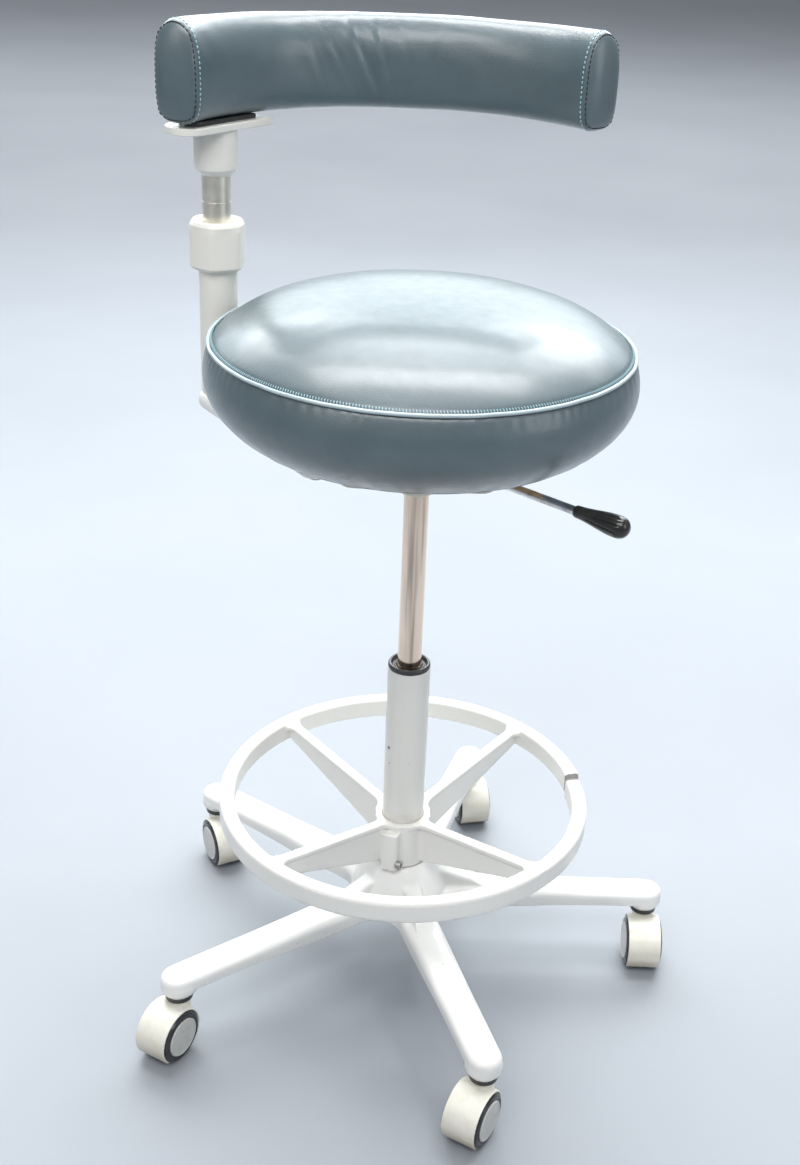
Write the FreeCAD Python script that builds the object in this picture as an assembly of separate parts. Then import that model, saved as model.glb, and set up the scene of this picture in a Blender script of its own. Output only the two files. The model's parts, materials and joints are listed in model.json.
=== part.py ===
import FreeCAD, Part
import math
import os

# Dentist stool: five-arm caster base, gas lift, sliding foot ring, round seat and a
# curved body support that swings on a side post. Millimetres, +Z up. The origin is
# on the column's axis at floor level, and the stool's front faces -Y.

V = FreeCAD.Vector
Z = V(0, 0, 1)

# ---- driving dimensions -------------------------------------------------------------
ARM_COUNT = 5
FIRST_ARM_DEG = -71.2
ARM_REACH = 329.5           # column axis to the outside of an arm's tip
ARM_TIP_R = 20.5
ARM_ROOT_HALF = 22.5
STAR_TOP = 99.0
STAR_LOW = 76.0
STAR_WALL = 4.5
WEB_FILLET = 32.0
BOSS_LOW = 71.5
BOSS_R = 17.0
HUB_R = 36.0
HUB_TOP = 139.5             # the base's dome ends just under the foot ring's hub

COLUMN_R = 25.0
COLUMN_BORE = 22.0
COLUMN_LOW = 74.0
COLUMN_TOP = 406.0
COLUMN_FLOOR = 4.0
BUSH_FLANGE = 6.0
BUSH_LENGTH = 90.0
FIT = 0.05                  # radial clearance of sliding and turning fits
GAP = 0.4                   # clearance between parts that pass each other

CYLINDER_R = 14.0
CYLINDER_BORE = 12.0
CYLINDER_LOW = 312.0
CYLINDER_TOP = 650.0
ROD_R = 5.0

RING_OUTER = 221.5
RING_INNER = 203.5
RING_LOW = 210.0
RING_TOP = 236.0
RING_HUB_R = 33.0
RING_HUB_LOW = 141.0
RING_HUB_TOP = 201.0
SPOKE_COUNT = 4
FIRST_SPOKE_DEG = 46.6
SPOKE_HALF = 6.5
SPOKE_WEB_HALF = 4.0
CRACK_DEG = 12.0            # where the rim is broken through
CRACK_GAP_DEG = 0.5
CRACK_SAG_DEG = 2.3         # how far the broken segment leans down
CLAMP_DEG = -112.0
CLAMP_HALF = 10.5
CLAMP_REACH = 43.5
CLAMP_BOLT_R = 38.5

SEAT_PIPING_R = 220.0
SEAT_PIPING_Z = 795.0
SEAT_TOP = 841.0
SEAT_LOW = 701.0
SEAT_BULGE_R = 228.5
SEAT_LOW_R = 184.0
SKIN = 1.6                  # vinyl with its backing
BOARD_R = 172.0
BOARD_THICK = 12.0

PAN_HALF_X = 80.0
PAN_HALF_Y = 85.0
PAN_LOW = 662.0
PAN_WALL = 2.5
LEVER_DEG = -41.0
LEVER_Z = 671.0
LEVER_PIVOT = 30.0
LEVER_R = 4.7
LEVER_FINGER = 2.5          # how far the lever's inner finger reaches below its axis

POST_X = -228.0
POST_Y = 112.0
POST_R = 21.1
INNER_POST_R = 15.5
ARM_LOW = 672.0
ARM_HIGH = 692.0
ARM_END_X = -105.0
ARM_END_Y = -74.0
NUT_LOW = 834.0
NUT_HIGH = 886.0
NUT_CORNER_R = 31.5

PAD_X = -18.3               # centre of the pad's curve
PAD_Y = -33.4
PAD_R = 255.0
PAD_FROM_DEG = 38.8
PAD_TO_DEG = 161.6
PAD_LOW = 993.5
PAD_HIGH = 1093.0
PAD_HALF = 25.5
PLATE_LOW = 981.0
PLATE_HIGH = 988.5
COLLAR_LOW = 934.0
COLLAR_R = 23.4

WHEEL_R = 30.0
CASTER_TRAIL = 22.5
CASTER_HALF = 23.5
CASTER_TRAIL_DEG = (240.7, 269.2, 283.2, 298.4, 240.6)

PARTS = {}


# ---- small builders -----------------------------------------------------------------
def rod(radius, low, high, x=0.0, y=0.0):
    return Part.makeCylinder(radius, high - low, V(x, y, low), Z)


def tube(outer, inner, low, high, x=0.0, y=0.0):
    return rod(outer, low, high, x, y).cut(rod(inner, low - 1, high + 1, x, y))


def block(x0, x1, y0, y1, z0, z1):
    return Part.makeBox(x1 - x0, y1 - y0, z1 - z0, V(x0, y0, z0))


def at_angle(shape, degrees):
    turned = shape.copy()
    turned.rotate(V(0, 0, 0), Z, degrees)
    return turned


def moved(shape, x, y, z):
    copy = shape.copy()
    copy.translate(V(x, y, z))
    return copy


def line(a, b):
    return Part.LineSegment(a, b).toShape()


def arc(a, b, c):
    return Part.Arc(a, b, c).toShape()


def face_of(edges):
    return Part.Face(Part.Wire(Part.__sortEdges__(edges)))


def spun(points):
    """A closed outline of (radius, height) points, turned about the Z axis."""
    corners = [V(r, 0, z) for r, z in points]
    outline = Part.makePolygon(corners + corners[:1])
    return Part.Face(outline).revolve(V(0, 0, 0), Z, 360)


def upright_face(x0, x1, z0, z1):
    corners = [V(x0, 0, z0), V(x1, 0, z0), V(x1, 0, z1), V(x0, 0, z1), V(x0, 0, z0)]
    return Part.Face(Part.makePolygon(corners))


def upright(points, half):
    """An outline of (x, z) points, given thickness along Y."""
    corners = [V(x, -half, z) for x, z in points]
    outline = Part.makePolygon(corners + corners[:1])
    return Part.Face(outline).extrude(V(0, 2 * half, 0))


def joined(shapes):
    whole = shapes[0]
    for shape in shapes[1:]:
        whole = whole.fuse(shape)
    return whole.removeSplitter()


def keep(name, shape):
    PARTS[name] = shape


def arm_angles():
    step = 360.0 / ARM_COUNT
    return [FIRST_ARM_DEG + step * i for i in range(ARM_COUNT)]


# ---- base ---------------------------------------------------------------------------
def star_outline(inset):
    """The base seen from above: arms that narrow to round tips, with round webs between."""
    half_step = math.pi / ARM_COUNT
    root = ARM_ROOT_HALF - inset
    tip = ARM_TIP_R - inset
    fillet = WEB_FILLET + inset
    tip_x = ARM_REACH - ARM_TIP_R
    web_centre = (root + fillet) / math.sin(half_step)
    tangent_x = web_centre * math.cos(half_step)
    edges = []
    for angle in arm_angles():
        turn = math.radians(angle)

        def at(x, y):
            return V(x * math.cos(turn) - y * math.sin(turn),
                     x * math.sin(turn) + y * math.cos(turn), 0)

        edges.append(line(at(tangent_x, -root), at(tip_x, -tip)))
        edges.append(arc(at(tip_x, -tip), at(tip_x + tip, 0), at(tip_x, tip)))
        edges.append(line(at(tip_x, tip), at(tangent_x, root)))
        near = web_centre - fillet
        far = web_centre * math.cos(2 * half_step), web_centre * math.sin(2 * half_step)
        middle = at(near * math.cos(half_step), near * math.sin(half_step))
        end_x = tangent_x * math.cos(2 * half_step) + root * math.sin(2 * half_step)
        end_y = tangent_x * math.sin(2 * half_step) - root * math.cos(2 * half_step)
        edges.append(arc(at(tangent_x, root), middle, at(end_x, end_y)))
    return face_of(edges)


def make_dome():
    """The base's middle: a flared dome, with a ridge running out along each arm."""
    inside = COLUMN_R - 3.0
    floor = STAR_TOP - 8.0
    pieces = [spun([
        (inside, floor), (58.0, floor), (58.0, 99.0), (56.5, 104.0), (53.0, 110.5),
        (48.0, 119.5), (42.0, 129.5), (38.0, 135.5), (34.0, HUB_TOP), (inside, HUB_TOP)])]
    ridge = upright([
        (COLUMN_R + 3.0, floor), (COLUMN_R + 3.0, 127.0), (40.0, 124.0), (60.0, 117.0),
        (80.0, 110.5), (105.0, 104.5), (150.0, STAR_TOP - 0.5), (150.0, floor)], 11.0)
    top_edges = [e for e in ridge.Edges
                 if abs(e.CenterOfMass.y) > 10.0 and e.CenterOfMass.z > STAR_TOP]
    ridge = ridge.makeFillet(4.0, [e for e in top_edges if abs(e.CenterOfMass.x - 28.0) > 1.0])
    for angle in arm_angles():
        pieces.append(at_angle(ridge, angle))
    return joined(pieces)


def make_base_star():
    body = star_outline(0.0)
    body.translate(V(0, 0, STAR_LOW))
    body = body.extrude(V(0, 0, STAR_TOP - STAR_LOW))
    top_edges = [e for e in body.Edges if all(abs(v.Z - STAR_TOP) < 0.01 for v in e.Vertexes)]
    body = body.makeFillet(9.0, top_edges)
    hollow = star_outline(STAR_WALL)
    hollow.translate(V(0, 0, STAR_LOW - 1))
    hollow = hollow.extrude(V(0, 0, STAR_TOP - 10.0 - STAR_LOW))
    body = body.cut(hollow)
    pieces = [body, rod(HUB_R, BOSS_LOW, STAR_TOP), make_dome()]
    boss_x = ARM_REACH - ARM_TIP_R
    for angle in arm_angles():
        pieces.append(at_angle(rod(BOSS_R, BOSS_LOW, STAR_TOP - 4.0, boss_x), angle))
    star = joined(pieces)
    star = star.cut(rod(COLUMN_R + FIT, COLUMN_LOW, HUB_TOP + 1))
    star = star.cut(rod(COLUMN_R - 5.0, BOSS_LOW - 1, COLUMN_LOW + 1))
    for angle in arm_angles():
        star = star.cut(at_angle(rod(5.5 + FIT, BOSS_LOW - 1, 92.0, boss_x), angle))
    return star


def make_column():
    plate_top = COLUMN_LOW + COLUMN_FLOOR
    shell = rod(COLUMN_R, COLUMN_LOW, COLUMN_TOP)
    shell = shell.cut(rod(COLUMN_BORE, plate_top, COLUMN_TOP + 1))
    keep("column_tube", shell.cut(rod(ROD_R + GAP, COLUMN_LOW - 1, plate_top + 1)))
    top = COLUMN_TOP + BUSH_FLANGE
    keep("column_guide_bush", spun([
        (CYLINDER_R + FIT, COLUMN_TOP - BUSH_LENGTH), (COLUMN_BORE - FIT, COLUMN_TOP - BUSH_LENGTH),
        (COLUMN_BORE - FIT, COLUMN_TOP), (24.4, COLUMN_TOP), (24.4, top - 2.0), (22.6, top),
        (17.0, top), (CYLINDER_R + FIT, top - 4.0)]))
    keep("thrust_bearing", tube(15.0, ROD_R + GAP, plate_top, plate_top + 6.0))
    keep("column_buffer", tube(15.0, ROD_R + GAP, plate_top + 6.0, plate_top + 14.0))


def make_caster_fixings():
    x = ARM_REACH - ARM_TIP_R
    stem = rod(5.5, 55.6, 91.0, x)
    stem = stem.fuse(rod(8.0, 66.4, 67.4, x))
    washer = tube(16.0, 8.0 + GAP, 65.8, BOSS_LOW, x)
    keep("caster_stems", Part.makeCompound([at_angle(stem, a) for a in arm_angles()]))
    keep("caster_washers", Part.makeCompound([at_angle(washer, a) for a in arm_angles()]))


# ---- gas lift -----------------------------------------------------------------------
def make_gas_lift():
    shoulder = COLUMN_LOW + COLUMN_FLOOR + 14.0 + GAP
    piston_low = 400.0
    piston_high = 412.0
    stem = joined([rod(ROD_R, 66.0, piston_high + 4.0), rod(10.0, shoulder, shoulder + 4.0)])
    keep("gas_piston_rod", stem)
    keep("rod_clip", tube(9.0, ROD_R, 70.5, 72.5))
    keep("gas_piston", tube(CYLINDER_BORE - FIT, ROD_R, piston_low, piston_high))
    shell = rod(CYLINDER_R, CYLINDER_LOW, CYLINDER_TOP)
    shell = shell.cut(rod(CYLINDER_BORE, CYLINDER_LOW + 10.0, CYLINDER_TOP - 12.0))
    shell = shell.cut(rod(ROD_R + FIT, CYLINDER_LOW - 1, CYLINDER_LOW + 11.0))
    shell = shell.cut(rod(4.0 + FIT, CYLINDER_TOP - 10.0, CYLINDER_TOP + 1))
    keep("gas_cylinder", shell)
    keep("gas_valve_button", rod(4.0, CYLINDER_TOP - 5.0, LEVER_Z - LEVER_FINGER - GAP))


# ---- foot ring ----------------------------------------------------------------------
def rim_arc(start, end):
    """The rim's rounded section carried round from one angle to another."""
    section = upright_face(RING_INNER, RING_OUTER, RING_LOW, RING_TOP)
    bent = section.revolve(V(0, 0, 0), Z, end - start)
    long_edges = [e for e in bent.Edges if e.Length > 3 * (RING_TOP - RING_LOW)]
    return at_angle(bent.makeFillet(3.0, long_edges), start)


def flared_outline(low, high):
    """A spoke's top from the hub to the rim, wider at both ends."""
    near = RING_HUB_R - 4.0
    far = RING_INNER + 2.0
    flare = 15.0
    h = SPOKE_HALF
    k = flare * (1 - math.sqrt(0.5))
    edges = []
    for side in (1, -1):
        hub_end = V(near + flare, side * h, low)
        rim_end = V(far - flare, side * h, low)
        hub_corner = V(near, side * (h + flare), low)
        rim_corner = V(far, side * (h + flare), low)
        edges.append(arc(hub_corner, V(near + k, side * (h + k), low), hub_end))
        edges.append(line(hub_end, rim_end))
        edges.append(arc(rim_end, V(far - k, side * (h + k), low), rim_corner))
    edges.append(line(V(near, h + flare, low), V(near, -h - flare, low)))
    edges.append(line(V(far, h + flare, low), V(far, -h - flare, low)))
    return face_of(edges).extrude(V(0, 0, high - low))


def make_spoke():
    near = RING_HUB_R - 6.0
    far = RING_INNER + 4.0
    hub_z = RING_HUB_TOP
    rim_z = RING_TOP - 2.0
    slab = upright([(near, hub_z - 6), (near, hub_z), (far, rim_z), (far, rim_z - 6)], 40.0)
    flange = flared_outline(hub_z - 20, rim_z + 10).common(slab)
    web = upright([(near, RING_HUB_LOW + 3), (near, hub_z - 3), (far, rim_z - 3),
                   (far, RING_LOW + 3)], SPOKE_WEB_HALF)
    return flange.fuse(web)


def make_foot_ring():
    step = 360.0 / SPOKE_COUNT
    hinge_deg = FIRST_SPOKE_DEG - step
    broken = rim_arc(hinge_deg + 1.0, CRACK_DEG - CRACK_GAP_DEG)
    lean = V(math.cos(math.radians(hinge_deg)), math.sin(math.radians(hinge_deg)), 0)
    broken.rotate(V(0, 0, RING_LOW), lean, -CRACK_SAG_DEG)
    sound = rim_arc(CRACK_DEG, hinge_deg + 359.0)
    root = block(RING_INNER + 0.6, RING_OUTER - 0.6, -7.0, 7.0, RING_LOW + 0.6, RING_TOP - 0.6)
    pieces = [sound, at_angle(root, hinge_deg), broken, rod(RING_HUB_R, RING_HUB_LOW, RING_HUB_TOP)]
    for i in range(SPOKE_COUNT):
        pieces.append(at_angle(make_spoke(), FIRST_SPOKE_DEG + step * i))
    ears = block(RING_HUB_R - 6, CLAMP_REACH, -CLAMP_HALF, CLAMP_HALF,
                 RING_HUB_LOW, RING_HUB_TOP - 8.0)
    corners = [e for e in ears.Edges
               if e.Length > 50.0 and e.CenterOfMass.x > CLAMP_REACH - 1.0]
    pieces.append(at_angle(ears.makeFillet(4.5, corners), CLAMP_DEG))
    ring = joined(pieces)
    ring = ring.cut(rod(COLUMN_R + FIT, RING_HUB_LOW - 1, RING_HUB_TOP + 1))
    slot = block(20.0, 60.0, -1.0, 1.0, RING_HUB_LOW - 1, RING_HUB_TOP - 6.0)
    ring = ring.cut(at_angle(slot, CLAMP_DEG))
    bolt_z = RING_HUB_LOW + 9.5
    along = V(0, 1, 0)
    hole = Part.makeCylinder(3.0 + FIT, 30.0, V(CLAMP_BOLT_R, -15.0, bolt_z), along)
    ring = ring.cut(at_angle(hole, CLAMP_DEG))
    keep("foot_ring", ring)
    shank = Part.makeCylinder(3.0, CLAMP_HALF + 7.0, V(CLAMP_BOLT_R, -7.0, bolt_z), along)
    head = Part.makeCylinder(4.8, 5.5, V(CLAMP_BOLT_R, CLAMP_HALF, bolt_z), along)
    socket = Part.makeCylinder(2.5, 3.5, V(CLAMP_BOLT_R, CLAMP_HALF + 2.5, bolt_z), along)
    keep("ring_clamp_bolt", at_angle(shank.fuse(head).cut(socket), CLAMP_DEG))


# ---- seat ---------------------------------------------------------------------------
def cushion(inset):
    """The round cushion: low crown, full shoulder, side that swells and tucks under."""
    top = SEAT_TOP - inset
    pipe_r = SEAT_PIPING_R - inset
    low = SEAT_LOW + inset
    shoulder = V(150.0, 0, top - 7.5)
    pipe = V(pipe_r, 0, SEAT_PIPING_Z)
    belly = V(222.0 - inset, 0, 742.0)
    foot = V(SEAT_LOW_R, 0, low)
    edges = [
        arc(V(0, 0, top), V(80.0, 0, top - 1.0), shoulder),
        arc(shoulder, V(192.0 - 0.5 * inset, 0, 817.0 - 0.7 * inset), pipe),
        arc(pipe, V(SEAT_BULGE_R - inset, 0, 770.0), belly),
        arc(belly, V(209.0 - 0.7 * inset, 0, 719.0 + 0.4 * inset), foot),
        line(foot, V(0, 0, low)),
        line(V(0, 0, low), V(0, 0, top)),
    ]
    return face_of(edges).revolve(V(0, 0, 0), Z, 360)


def make_seat():
    keep("seat_board", rod(BOARD_R, SEAT_LOW, SEAT_LOW + BOARD_THICK))
    inner = cushion(SKIN)
    foam = inner.cut(rod(BOARD_R + 0.2, SEAT_LOW - 1, SEAT_LOW + BOARD_THICK))
    keep("seat_foam", foam)
    cover = cushion(0.0).cut(inner).cut(rod(BOARD_R + 0.2, SEAT_LOW - 1, SEAT_LOW + 3.0))
    welt_r = SEAT_PIPING_R + 2.2
    keep("seat_cover", cover.cut(Part.makeTorus(welt_r, 2.05, V(0, 0, SEAT_PIPING_Z), Z)))
    keep("seat_piping", Part.makeTorus(welt_r, 2.0, V(0, 0, SEAT_PIPING_Z), Z))


def make_seat_hub():
    flange_z = PAN_LOW
    keep("seat_hub", spun([
        (CYLINDER_R + FIT, 626.0), (18.8, 626.0), (20.5, 628.0), (21.5, 636.0), (30.0, 654.0),
        (30.0, flange_z), (CYLINDER_R + FIT, flange_z)]))


def make_seat_pan():
    hx = PAN_HALF_X
    hy = PAN_HALF_Y
    w = PAN_WALL
    outer = block(-hx, hx, -hy, hy, PAN_LOW, SEAT_LOW)
    corners = [e for e in outer.Edges if abs(e.Vertexes[0].Z - e.Vertexes[1].Z) > 5]
    outer = outer.makeFillet(14.0, corners)
    inner = block(w - hx, hx - w, w - hy, hy - w, PAN_LOW + w, SEAT_LOW + 1)
    corners = [e for e in inner.Edges if abs(e.Vertexes[0].Z - e.Vertexes[1].Z) > 5]
    pan = outer.cut(inner.makeFillet(14.0 - w, corners))
    lug = block(-12.0, 12.0, -12.0, 12.0, SEAT_LOW - 4.0, SEAT_LOW)
    for sx in (-1, 1):
        for sy in (-1, 1):
            pan = pan.fuse(moved(lug, sx * (hx - 14.0), sy * (hy - 14.0), 0))
    for side in (-1, 1):
        ear = block(LEVER_PIVOT - 7, LEVER_PIVOT + 7, side * 7.0 - 1.5, side * 7.0 + 1.5,
                    PAN_LOW + 1, LEVER_Z + 7)
        pan = pan.fuse(at_angle(ear, LEVER_DEG))
    slot = block(60.0, 125.0, -9.0, 9.0, PAN_LOW + 3.0, SEAT_LOW - 10.0)
    pan = pan.cut(at_angle(slot, LEVER_DEG))
    pan = pan.cut(rod(8.0, PAN_LOW - 1, PAN_LOW + 5))
    for sx in (-1, 1):
        for sy in (-1, 1):
            hole = rod(3.2, SEAT_LOW - 6, SEAT_LOW + 1, sx * (hx - 20.0), sy * (hy - 20.0))
            pan = pan.cut(hole)
    pin_hole = Part.makeCylinder(3.0 + FIT, 40.0, V(LEVER_PIVOT, -20, LEVER_Z), V(0, 1, 0))
    keep("seat_pan", pan.cut(at_angle(pin_hole, LEVER_DEG)).removeSplitter())
    pin = Part.makeCylinder(3.0, 22.0, V(LEVER_PIVOT, -11, LEVER_Z), V(0, 1, 0))
    keep("lever_pin", at_angle(pin, LEVER_DEG))
    screw = rod(3.0, SEAT_LOW - 4.0, SEAT_LOW + 0.0).fuse(rod(5.5, SEAT_LOW - 8.0, SEAT_LOW - 4.0))
    places = [(sx * (hx - 20.0), sy * (hy - 20.0)) for sx in (-1, 1) for sy in (-1, 1)]
    keep("pan_screws", Part.makeCompound([moved(screw, x, y, 0) for x, y in places]))


def make_lever():
    blade = block(22.0, 46.0, -5.0, 5.0, LEVER_Z - 5.3, LEVER_Z + 6.0)
    finger = block(-6.0, 24.0, -5.0, 5.0, LEVER_Z - LEVER_FINGER, LEVER_Z + 6.0)
    blade = blade.fuse(finger)
    shaft = Part.makeCylinder(LEVER_R, 195.0, V(40.0, 0, LEVER_Z), V(1, 0, 0))
    hole = Part.makeCylinder(3.0 + FIT, 20.0, V(LEVER_PIVOT, -10, LEVER_Z), V(0, 1, 0))
    keep("height_lever", at_angle(blade.fuse(shaft).cut(hole), LEVER_DEG))
    start = 211.0
    end = 275.0
    inside = [(start, LEVER_R + FIT), (236.0, LEVER_R + FIT), (236.0, 0.0), (end, 0.0)]
    edges = [line(V(x0, 0, r0), V(x1, 0, r1))
             for (x0, r0), (x1, r1) in zip(inside, inside[1:])]
    neck = V(start, 0, 6.4)
    belly = V(264.0, 0, 11.4)
    edges.append(arc(V(end, 0, 0), V(272.2, 0, 7.6), belly))
    edges.append(arc(belly, V(240.0, 0, 8.6), neck))
    edges.append(line(neck, V(start, 0, LEVER_R + FIT)))
    grip = face_of(edges).revolve(V(0, 0, 0), V(1, 0, 0), 360)
    keep("lever_grip", at_angle(moved(grip, 0, 0, LEVER_Z), LEVER_DEG))


# ---- side post ----------------------------------------------------------------------
def rounded_bar(x0, y0, r0, x1, y1, r1, low, high):
    """A flat bar with round ends of two radii."""
    run = math.hypot(x1 - x0, y1 - y0)
    lean = math.asin((r0 - r1) / run)
    heading = math.atan2(y1 - y0, x1 - x0)
    corners = []
    for side in (1, -1):
        normal = heading + side * (math.pi / 2 - lean)
        for x, y, r in ((x0, y0, r0), (x1, y1, r1)):
            corners.append(V(x + r * math.cos(normal), y + r * math.sin(normal), low))
    a, b, d, c = corners
    middle = Part.Face(Part.makePolygon([a, b, c, d, a])).extrude(V(0, 0, high - low))
    return joined([middle, rod(r0, low, high, x0, y0), rod(r1, low, high, x1, y1)])


def make_support_arm():
    arm = rounded_bar(POST_X, POST_Y, 25.0, ARM_END_X, ARM_END_Y, 20.0, ARM_LOW, ARM_HIGH)
    places = []
    for share in (0.52, 1.0):
        places.append((POST_X + share * (ARM_END_X - POST_X), POST_Y + share * (ARM_END_Y - POST_Y)))
    for x, y in places:
        arm = arm.cut(rod(4.2, ARM_LOW - 1, ARM_HIGH + 1, x, y))
    arm = arm.cut(rod(5.2, ARM_LOW - 1, ARM_HIGH + 1, POST_X, POST_Y))
    keep("support_arm", arm)
    spacer = tube(11.0, 4.2, ARM_HIGH, SEAT_LOW)
    keep("arm_spacers", Part.makeCompound([moved(spacer, x, y, 0) for x, y in places]))
    bolt = rod(4.0, ARM_LOW, SEAT_LOW).fuse(rod(7.0, ARM_LOW - 4.5, ARM_LOW))
    keep("arm_bolts", Part.makeCompound([moved(bolt, x, y, 0) for x, y in places]))


def hexagon(radius, low, high, x, y, degrees):
    corners = []
    for i in range(7):
        a = math.radians(degrees + 60.0 * i)
        corners.append(V(x + radius * math.cos(a), y + radius * math.sin(a), low))
    return Part.Face(Part.makePolygon(corners)).extrude(V(0, 0, high - low))


def make_post():
    plug = 12.0
    shell = tube(POST_R, INNER_POST_R + GAP, ARM_HIGH + plug, NUT_HIGH - 26.0, POST_X, POST_Y)
    foot = rod(POST_R, ARM_HIGH, ARM_HIGH + plug, POST_X, POST_Y)
    foot = foot.cut(rod(5.0, ARM_HIGH - 1, ARM_HIGH + plug + 1, POST_X, POST_Y))
    keep("post_tube", shell.fuse(foot).removeSplitter())
    bolt = rod(5.0, ARM_LOW, ARM_HIGH + plug - 1.0, POST_X, POST_Y)
    head = hexagon(9.0, ARM_LOW - 6.0, ARM_LOW, POST_X, POST_Y, 0.0)
    keep("post_bolt", bolt.fuse(head))
    collet = spun([
        (INNER_POST_R + FIT, NUT_HIGH - 26.0), (POST_R, NUT_HIGH - 26.0), (POST_R, NUT_HIGH - 20.0),
        (17.8, NUT_HIGH - 7.0), (INNER_POST_R + FIT, NUT_HIGH - 7.0)])
    split = block(14.0, 24.0, -1.0, 1.0, NUT_HIGH - 24.0, NUT_HIGH)
    for i in range(3):
        collet = collet.cut(at_angle(split, 120.0 * i))
    keep("clamp_collet", moved(collet, POST_X, POST_Y, 0))
    nut = hexagon(NUT_CORNER_R, NUT_LOW, NUT_HIGH, 0, 0, 25.0)
    nut = nut.makeFillet(5.0, [e for e in nut.Edges if abs(e.Vertexes[0].Z - e.Vertexes[1].Z) > 5])
    nut = nut.common(spun([(0, NUT_LOW), (NUT_CORNER_R - 3.5, NUT_LOW), (NUT_CORNER_R + 1, NUT_LOW + 5),
                           (NUT_CORNER_R + 1, NUT_HIGH - 5), (NUT_CORNER_R - 3.5, NUT_HIGH),
                           (0, NUT_HIGH)]))
    hollow = spun([(0, NUT_LOW - 1), (POST_R + GAP, NUT_LOW - 1), (POST_R + GAP, NUT_HIGH - 19.5),
                   (17.8 + 2 * GAP, NUT_HIGH - 6.2), (INNER_POST_R + GAP, NUT_HIGH - 6.2),
                   (INNER_POST_R + GAP, NUT_HIGH + 1), (0, NUT_HIGH + 1)])
    keep("clamp_nut", moved(nut.cut(hollow), POST_X, POST_Y, 0))
    keep("inner_post", rod(INNER_POST_R, 756.0, 970.0, POST_X, POST_Y))


# ---- body support -------------------------------------------------------------------
def pad_sweep(half, low, high, corner, from_deg, to_deg):
    """An upright rounded section carried along the pad's curve."""
    section = upright_face(PAD_R - half, PAD_R + half, low, high)
    bent = section.revolve(V(0, 0, 0), Z, to_deg - from_deg)
    if corner:
        ring_edges = [e for e in bent.Edges if e.Length > 2.5 * (high - low)]
        bent = bent.makeFillet(corner, ring_edges)
    return moved(at_angle(bent, from_deg), PAD_X, PAD_Y, 0)


def plate_outline(low, high, shrink):
    """Flange under the pad: round at the outer end, cut square at the inner end."""
    half = 24.5 - shrink
    reach = 64.0 - shrink
    bar = block(half - reach, reach, -half, half, low, high)
    bar = bar.fuse(rod(half, low, high, half - reach, 0)).removeSplitter()
    heading = math.degrees(math.atan2(POST_Y - PAD_Y, POST_X - PAD_X)) - 90.0
    return moved(at_angle(bar, heading), POST_X, POST_Y, 0)


def plate_points():
    heading = math.atan2(POST_Y - PAD_Y, POST_X - PAD_X) - math.pi / 2
    return [(POST_X + along * math.cos(heading), POST_Y + along * math.sin(heading))
            for along in (-46.0, -30.0, 34.0, 52.0)]


def make_body_support():
    floor = PLATE_LOW - 5.0
    collar = spun([
        (INNER_POST_R + FIT, COLLAR_LOW), (16.8, COLLAR_LOW), (COLLAR_R, COLLAR_LOW + 7.0),
        (COLLAR_R, PLATE_LOW), (0.0, PLATE_LOW), (0.0, floor), (INNER_POST_R + FIT, floor)])
    keep("pivot_collar", moved(collar, POST_X, POST_Y, 0))
    plate = plate_outline(PLATE_LOW, PLATE_HIGH, 0.0)
    spacer = plate_outline(PLATE_HIGH, PAD_LOW, 5.0)
    points = plate_points()
    for x, y in points:
        plate = plate.cut(rod(2.7, PLATE_LOW - 1, PLATE_HIGH + 1, x, y))
        spacer = spacer.cut(rod(2.7, PLATE_HIGH - 1, PAD_LOW + 1, x, y))
    keep("support_plate", plate)
    keep("support_spacer", spacer)
    screw = rod(2.5, PLATE_LOW, PAD_LOW).fuse(rod(4.5, PLATE_LOW - 2.5, PLATE_LOW))
    keep("plate_screws", Part.makeCompound([moved(screw, x, y, 0) for x, y in points]))
    core = pad_sweep(6.0, PAD_LOW + 14, PAD_HIGH - 20, 0, PAD_FROM_DEG + 5, PAD_TO_DEG - 5)
    keep("support_core", core)
    inner = pad_sweep(PAD_HALF - SKIN, PAD_LOW + SKIN, PAD_HIGH - SKIN, 14.0,
                      PAD_FROM_DEG + 0.4, PAD_TO_DEG - 0.4)
    keep("support_foam", inner.cut(core))
    outer = pad_sweep(PAD_HALF, PAD_LOW, PAD_HIGH, 15.0, PAD_FROM_DEG, PAD_TO_DEG)
    keep("support_cover", outer.cut(inner))


# ---- casters ------------------------------------------------------------------------
def across(radius, y0, y1, x=0.0, z=WHEEL_R):
    return Part.makeCylinder(radius, y1 - y0, V(x, y0, z), V(0, 1, 0))


def make_hood():
    """Hood over both wheels, with the axle web between them and the stem socket in front."""
    hood_r = WHEEL_R + 3.2
    half = CASTER_HALF - 3.5
    shell = across(hood_r, -half, half)
    socket = rod(13.0, 48.0, 65.4, CASTER_TRAIL)
    shell = shell.fuse(socket)
    for y0, y1 in ((-30.0, -2.2), (2.2, 30.0)):
        shell = shell.cut(across(WHEEL_R + 0.8, y0, y1))
    shell = shell.cut(block(-50, 50, -30, 30, -5, 9.5))
    shell = shell.cut(across(4.0 + FIT, -5, 5))
    shell = shell.cut(rod(5.5 + FIT, 55.0, 66.0, CASTER_TRAIL))
    return shell.removeSplitter()


def make_wheel(side):
    inner = 2.8
    tread = across(WHEEL_R, inner, CASTER_HALF - 1.5)
    edges = [e for e in tread.Edges if abs(e.CenterOfMass.y - (CASTER_HALF - 1.5)) < 0.01]
    tread = tread.makeFillet(2.5, edges)
    disc = across(22.5, CASTER_HALF - 2.5, CASTER_HALF)
    wheel = tread.fuse(disc).cut(across(4.0 + FIT, inner - 1, 14.0 + GAP)).removeSplitter()
    if side < 0:
        wheel = wheel.mirror(V(0, 0, 0), V(0, 1, 0))
    return wheel


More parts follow.
